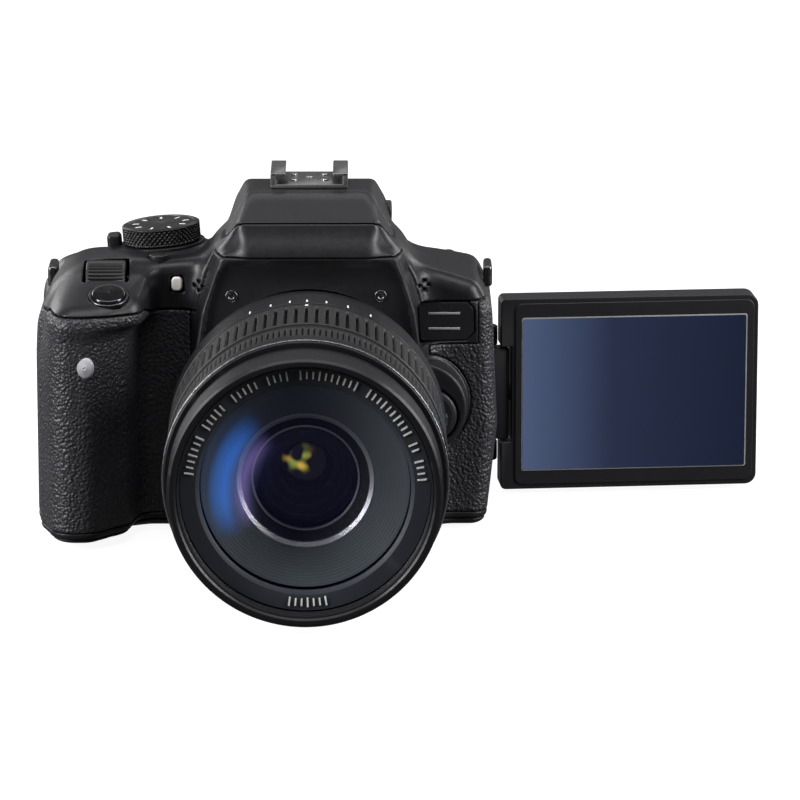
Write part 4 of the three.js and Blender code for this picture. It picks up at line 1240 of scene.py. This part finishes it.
place(bar("hinge_backing", (45, 51.6), (5.8, 7.5), (9.9, 49.5), 0.3), BODY, INNER, "inner_black")
turned_part("tripod_ring", [(3.3, 0.35), (8, 0.35), (8, 6.5), (3.3, 6.5)], along("z", 0, -15, 0),
            BODY, STEEL, "steel", "tripod_socket", radius=0.4, segments=96)


# ---- Screen ------------------------------------------------------------------------------------------
PANEL_FRAME = Matrix.Translation((*HINGE, 0)) @ Matrix.Rotation(PANEL_TURN, 4, "Z") @ AXES["-y"]
NOTCH = [(3.9, 1.2), (79.4, 1.2), (79.4, 58.2), (3.9, 58.2), (3.9, PANEL_Z + 14.2), (7, PANEL_Z + 14.2),
         (7, PANEL_Z - 14.2), (3.9, PANEL_Z - 14.2)]
case_outline = ngon([(*c, 3.2 if c[0] > 70 else 1.6 if c[1] in (1.2, 58.2) else 0.4) for c in NOTCH], 1)
case = plate("panel_case", case_outline, -4.7, 4.1, PANEL_FRAME, 0.9, 4)
frame_edge = ngon(rectangle((8.0, 78.2), (2.6, 56.8)), 2.4)
place(case, "screen_panel", SCREEN_SHELL, "screen_plastic", "screen_case")
place(plate("panel_bezel", frame_edge, 3.6, 4.45, PANEL_FRAME, 0.3), "screen_panel", SCREEN_SHELL,
      "screen_plastic")
place(plate("panel_border", ngon(rectangle((9.9, 76.1), (6.8, 52.6)), 0.7), 4.2, 4.55, PANEL_FRAME, 0.1),
      "screen_panel", DIM_PAINT, "display")


def display_painted_sheen():
    """The dark blue display under gloss, with a painted sheen that glows slate at the hinge end and navy at
    the far end.
    """
    material = finish_of("display", (0.004, 0.006, 0.012), 0.08, 500, 0.000002, coat=0.1, bump=0.02, wear=0,
                         specular=0.1)
    tree = material.node_tree
    across = node(tree, "SeparateXYZ", Vector=object_place(tree)).outputs["X"]
    tint = coloured(tree, spread(tree, across, 0.060, 0.127), (
        (0.0, (0.070, 0.100, 0.185)), (0.42, (0.018, 0.024, 0.054)), (1.0, (0.008, 0.011, 0.028))))
    shader = shader_of(material)
    # painted sheen: an emitted glow, lighter at the hinge end
    tree.links.new(tint, shader.inputs["Emission Color"])
    shader.inputs["Emission Strength"].default_value = 1.0
    return material


glass_edge = ngon(rectangle((10.25, 75.75), (7.15, 52.25)), 0.5)
place(plate("panel_glass", glass_edge, 4.3, 4.68, PANEL_FRAME, 0.08), "screen_panel", display_painted_sheen(),
      "display", "screen_glass")
ARM_FRAME = Matrix.Translation((*HINGE, 0)) @ Matrix.Rotation(PANEL_TURN, 4, "Z")
arm = [turned("arm_barrel", [(0, 16.1), (3.3, 16.1), (3.3, 43.3), (0, 43.3)], ARM_FRAME, 0.5, 64),
       bar("arm_block", (0, 6.5), (-2.9, 2.9), (16.1, 43.3), 0.6, ARM_FRAME),
       turned("arm_shaft", [(0, 3), (2.4, 3), (2.4, 13.8), (0, 13.8)],
              ARM_FRAME @ Matrix.Translation((0, 0, PANEL_Z)) @ AXES["x"], 0.3, 48)]
place(joined("arm", arm), "screen_arm", SCREEN_SHELL, "screen_plastic", "screen_arm")


# ---- Inside --------------------------------------------------------------------------------------------
INSIDE = {
    "mirror_box": (INNER, "inner_black"), "focusing_screen": (CLEAR, "optical_glass"),
    "prism_block": (CLEAR, "optical_glass"), "reflex_mirror": (MIRROR, "mirror"),
    "shutter_frame": (INNER, "inner_black"), "shutter_curtain": (SHUTTER, "shutter_metal"),
    "image_sensor": (SENSOR, "sensor_grey"), "main_board": (BOARD, "electronics"),
    "battery": (MOULDED, "moulded_black"), "memory_card": (MOULDED, "moulded_black"),
    "flash_window": (LAMP, "lamp_white"),
}
for name, (material, slot_name) in INSIDE.items():
    finish_node(name, material, slot_name)


# ---- Studio -----------------------------------------------------------------------------------------
def set_piece(name, build, material):
    """A piece of the studio: the camera sees it, and the object neither reflects it nor is lit by it."""
    mesh = mesh_of(name, build)
    mesh.materials.append(material)
    piece = shown(name, mesh)
    piece.visible_glossy = False
    piece.visible_diffuse = False
    piece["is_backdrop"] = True
    return piece


def floor():
    """A pale floor that stays nearly white, with the object's soft shadow on it."""
    paper, _ = new_material("paper")
    shader = shader_of(paper)
    shader.inputs["Base Color"].default_value = (0.25, 0.25, 0.25, 1)
    shader.inputs["Roughness"].default_value = 0.8
    shader.inputs["Emission Color"].default_value = (1, 1, 1, 1)
    shader.inputs["Emission Strength"].default_value = 0.92
    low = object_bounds()[0].z
    build = bmesh.new()
    bmesh.ops.create_grid(build, x_segments=2, y_segments=2, size=3)
    bmesh.ops.translate(build, verts=build.verts, vec=(0, 0, low - 0.0005))
    set_piece("floor", build, paper)


def backdrop():
    """A pale dome that only the camera sees, so that every view has the same plain ground."""
    glow, tree = new_material("backdrop", empty=True)
    shine = node(tree, "Emission", Color=(1, 1, 1, 1), Strength=1.0)
    node(tree, "OutputMaterial", Surface=shine.outputs["Emission"])
    build = bmesh.new()
    bmesh.ops.create_uvsphere(build, u_segments=48, v_segments=24, radius=6)
    dome_piece = set_piece("backdrop", build, glow)
    dome_piece.visible_shadow = False
    dome_piece.visible_transmission = False


def softbox(name, at, target, width, height, power):
    light = bpy.data.lights.new(name, "AREA")
    light.shape = "RECTANGLE"
    light.size, light.size_y = width, height
    light.energy = power
    lamp = shown(name, light)
    lamp.location = at
    lamp.rotation_euler = (Vector(target) - Vector(at)).to_track_quat("-Z", "Y").to_euler()


def studio():
    scene = bpy.context.scene
    scene.view_settings.view_transform = "Standard"
    scene.world = bpy.data.worlds.new("studio")
    scene.world.use_nodes = True
    background = scene.world.node_tree.nodes["Background"]
    background.inputs["Color"].default_value = (1, 1, 1, 1)
    background.inputs["Strength"].default_value = 0.10
    floor()
    backdrop()
    front, middle = (0.0, -0.05, 0.05), (0.0, 0.0, 0.05)
    softbox("overhead", (0.0, -0.25, 1.1), front, 1.2, 0.5, 8.5)
    softbox("left_box", (-1.1, -0.5, 0.5), front, 0.4, 0.9, 22)
    softbox("right_box", (1.1, -0.4, 0.55), front, 0.4, 0.9, 19)
    softbox("rear_left", (-1.0, 1.3, 0.5), middle, 0.6, 0.9, 6.5)
    softbox("rear_right", (1.1, 1.2, 0.6), middle, 0.6, 0.9, 6.5)
    softbox("back_box", (0.0, 1.1, 0.9), middle, 1.4, 0.4, 2)


def look():
    """The main view: a long lens in front of the camera and a little above it."""
    azimuth, elevation = math.radians(-0.36), math.radians(13.6)
    target, distance = Vector((0.0257, -0.020, 0.0353)), 1.45
    forward = Vector((-math.sin(azimuth) * math.cos(elevation), math.cos(azimuth) * math.cos(elevation),
                      -math.sin(elevation)))
    view = bpy.data.cameras.new("view")
    view.lens, view.sensor_width = 228.7, 36
    view.clip_end = 20
    camera = shown("view", view)
    camera.location = target - forward * distance
    camera.rotation_euler = forward.to_track_quat("-Z", "Y").to_euler()
    bpy.context.scene.camera = camera


studio()
look()
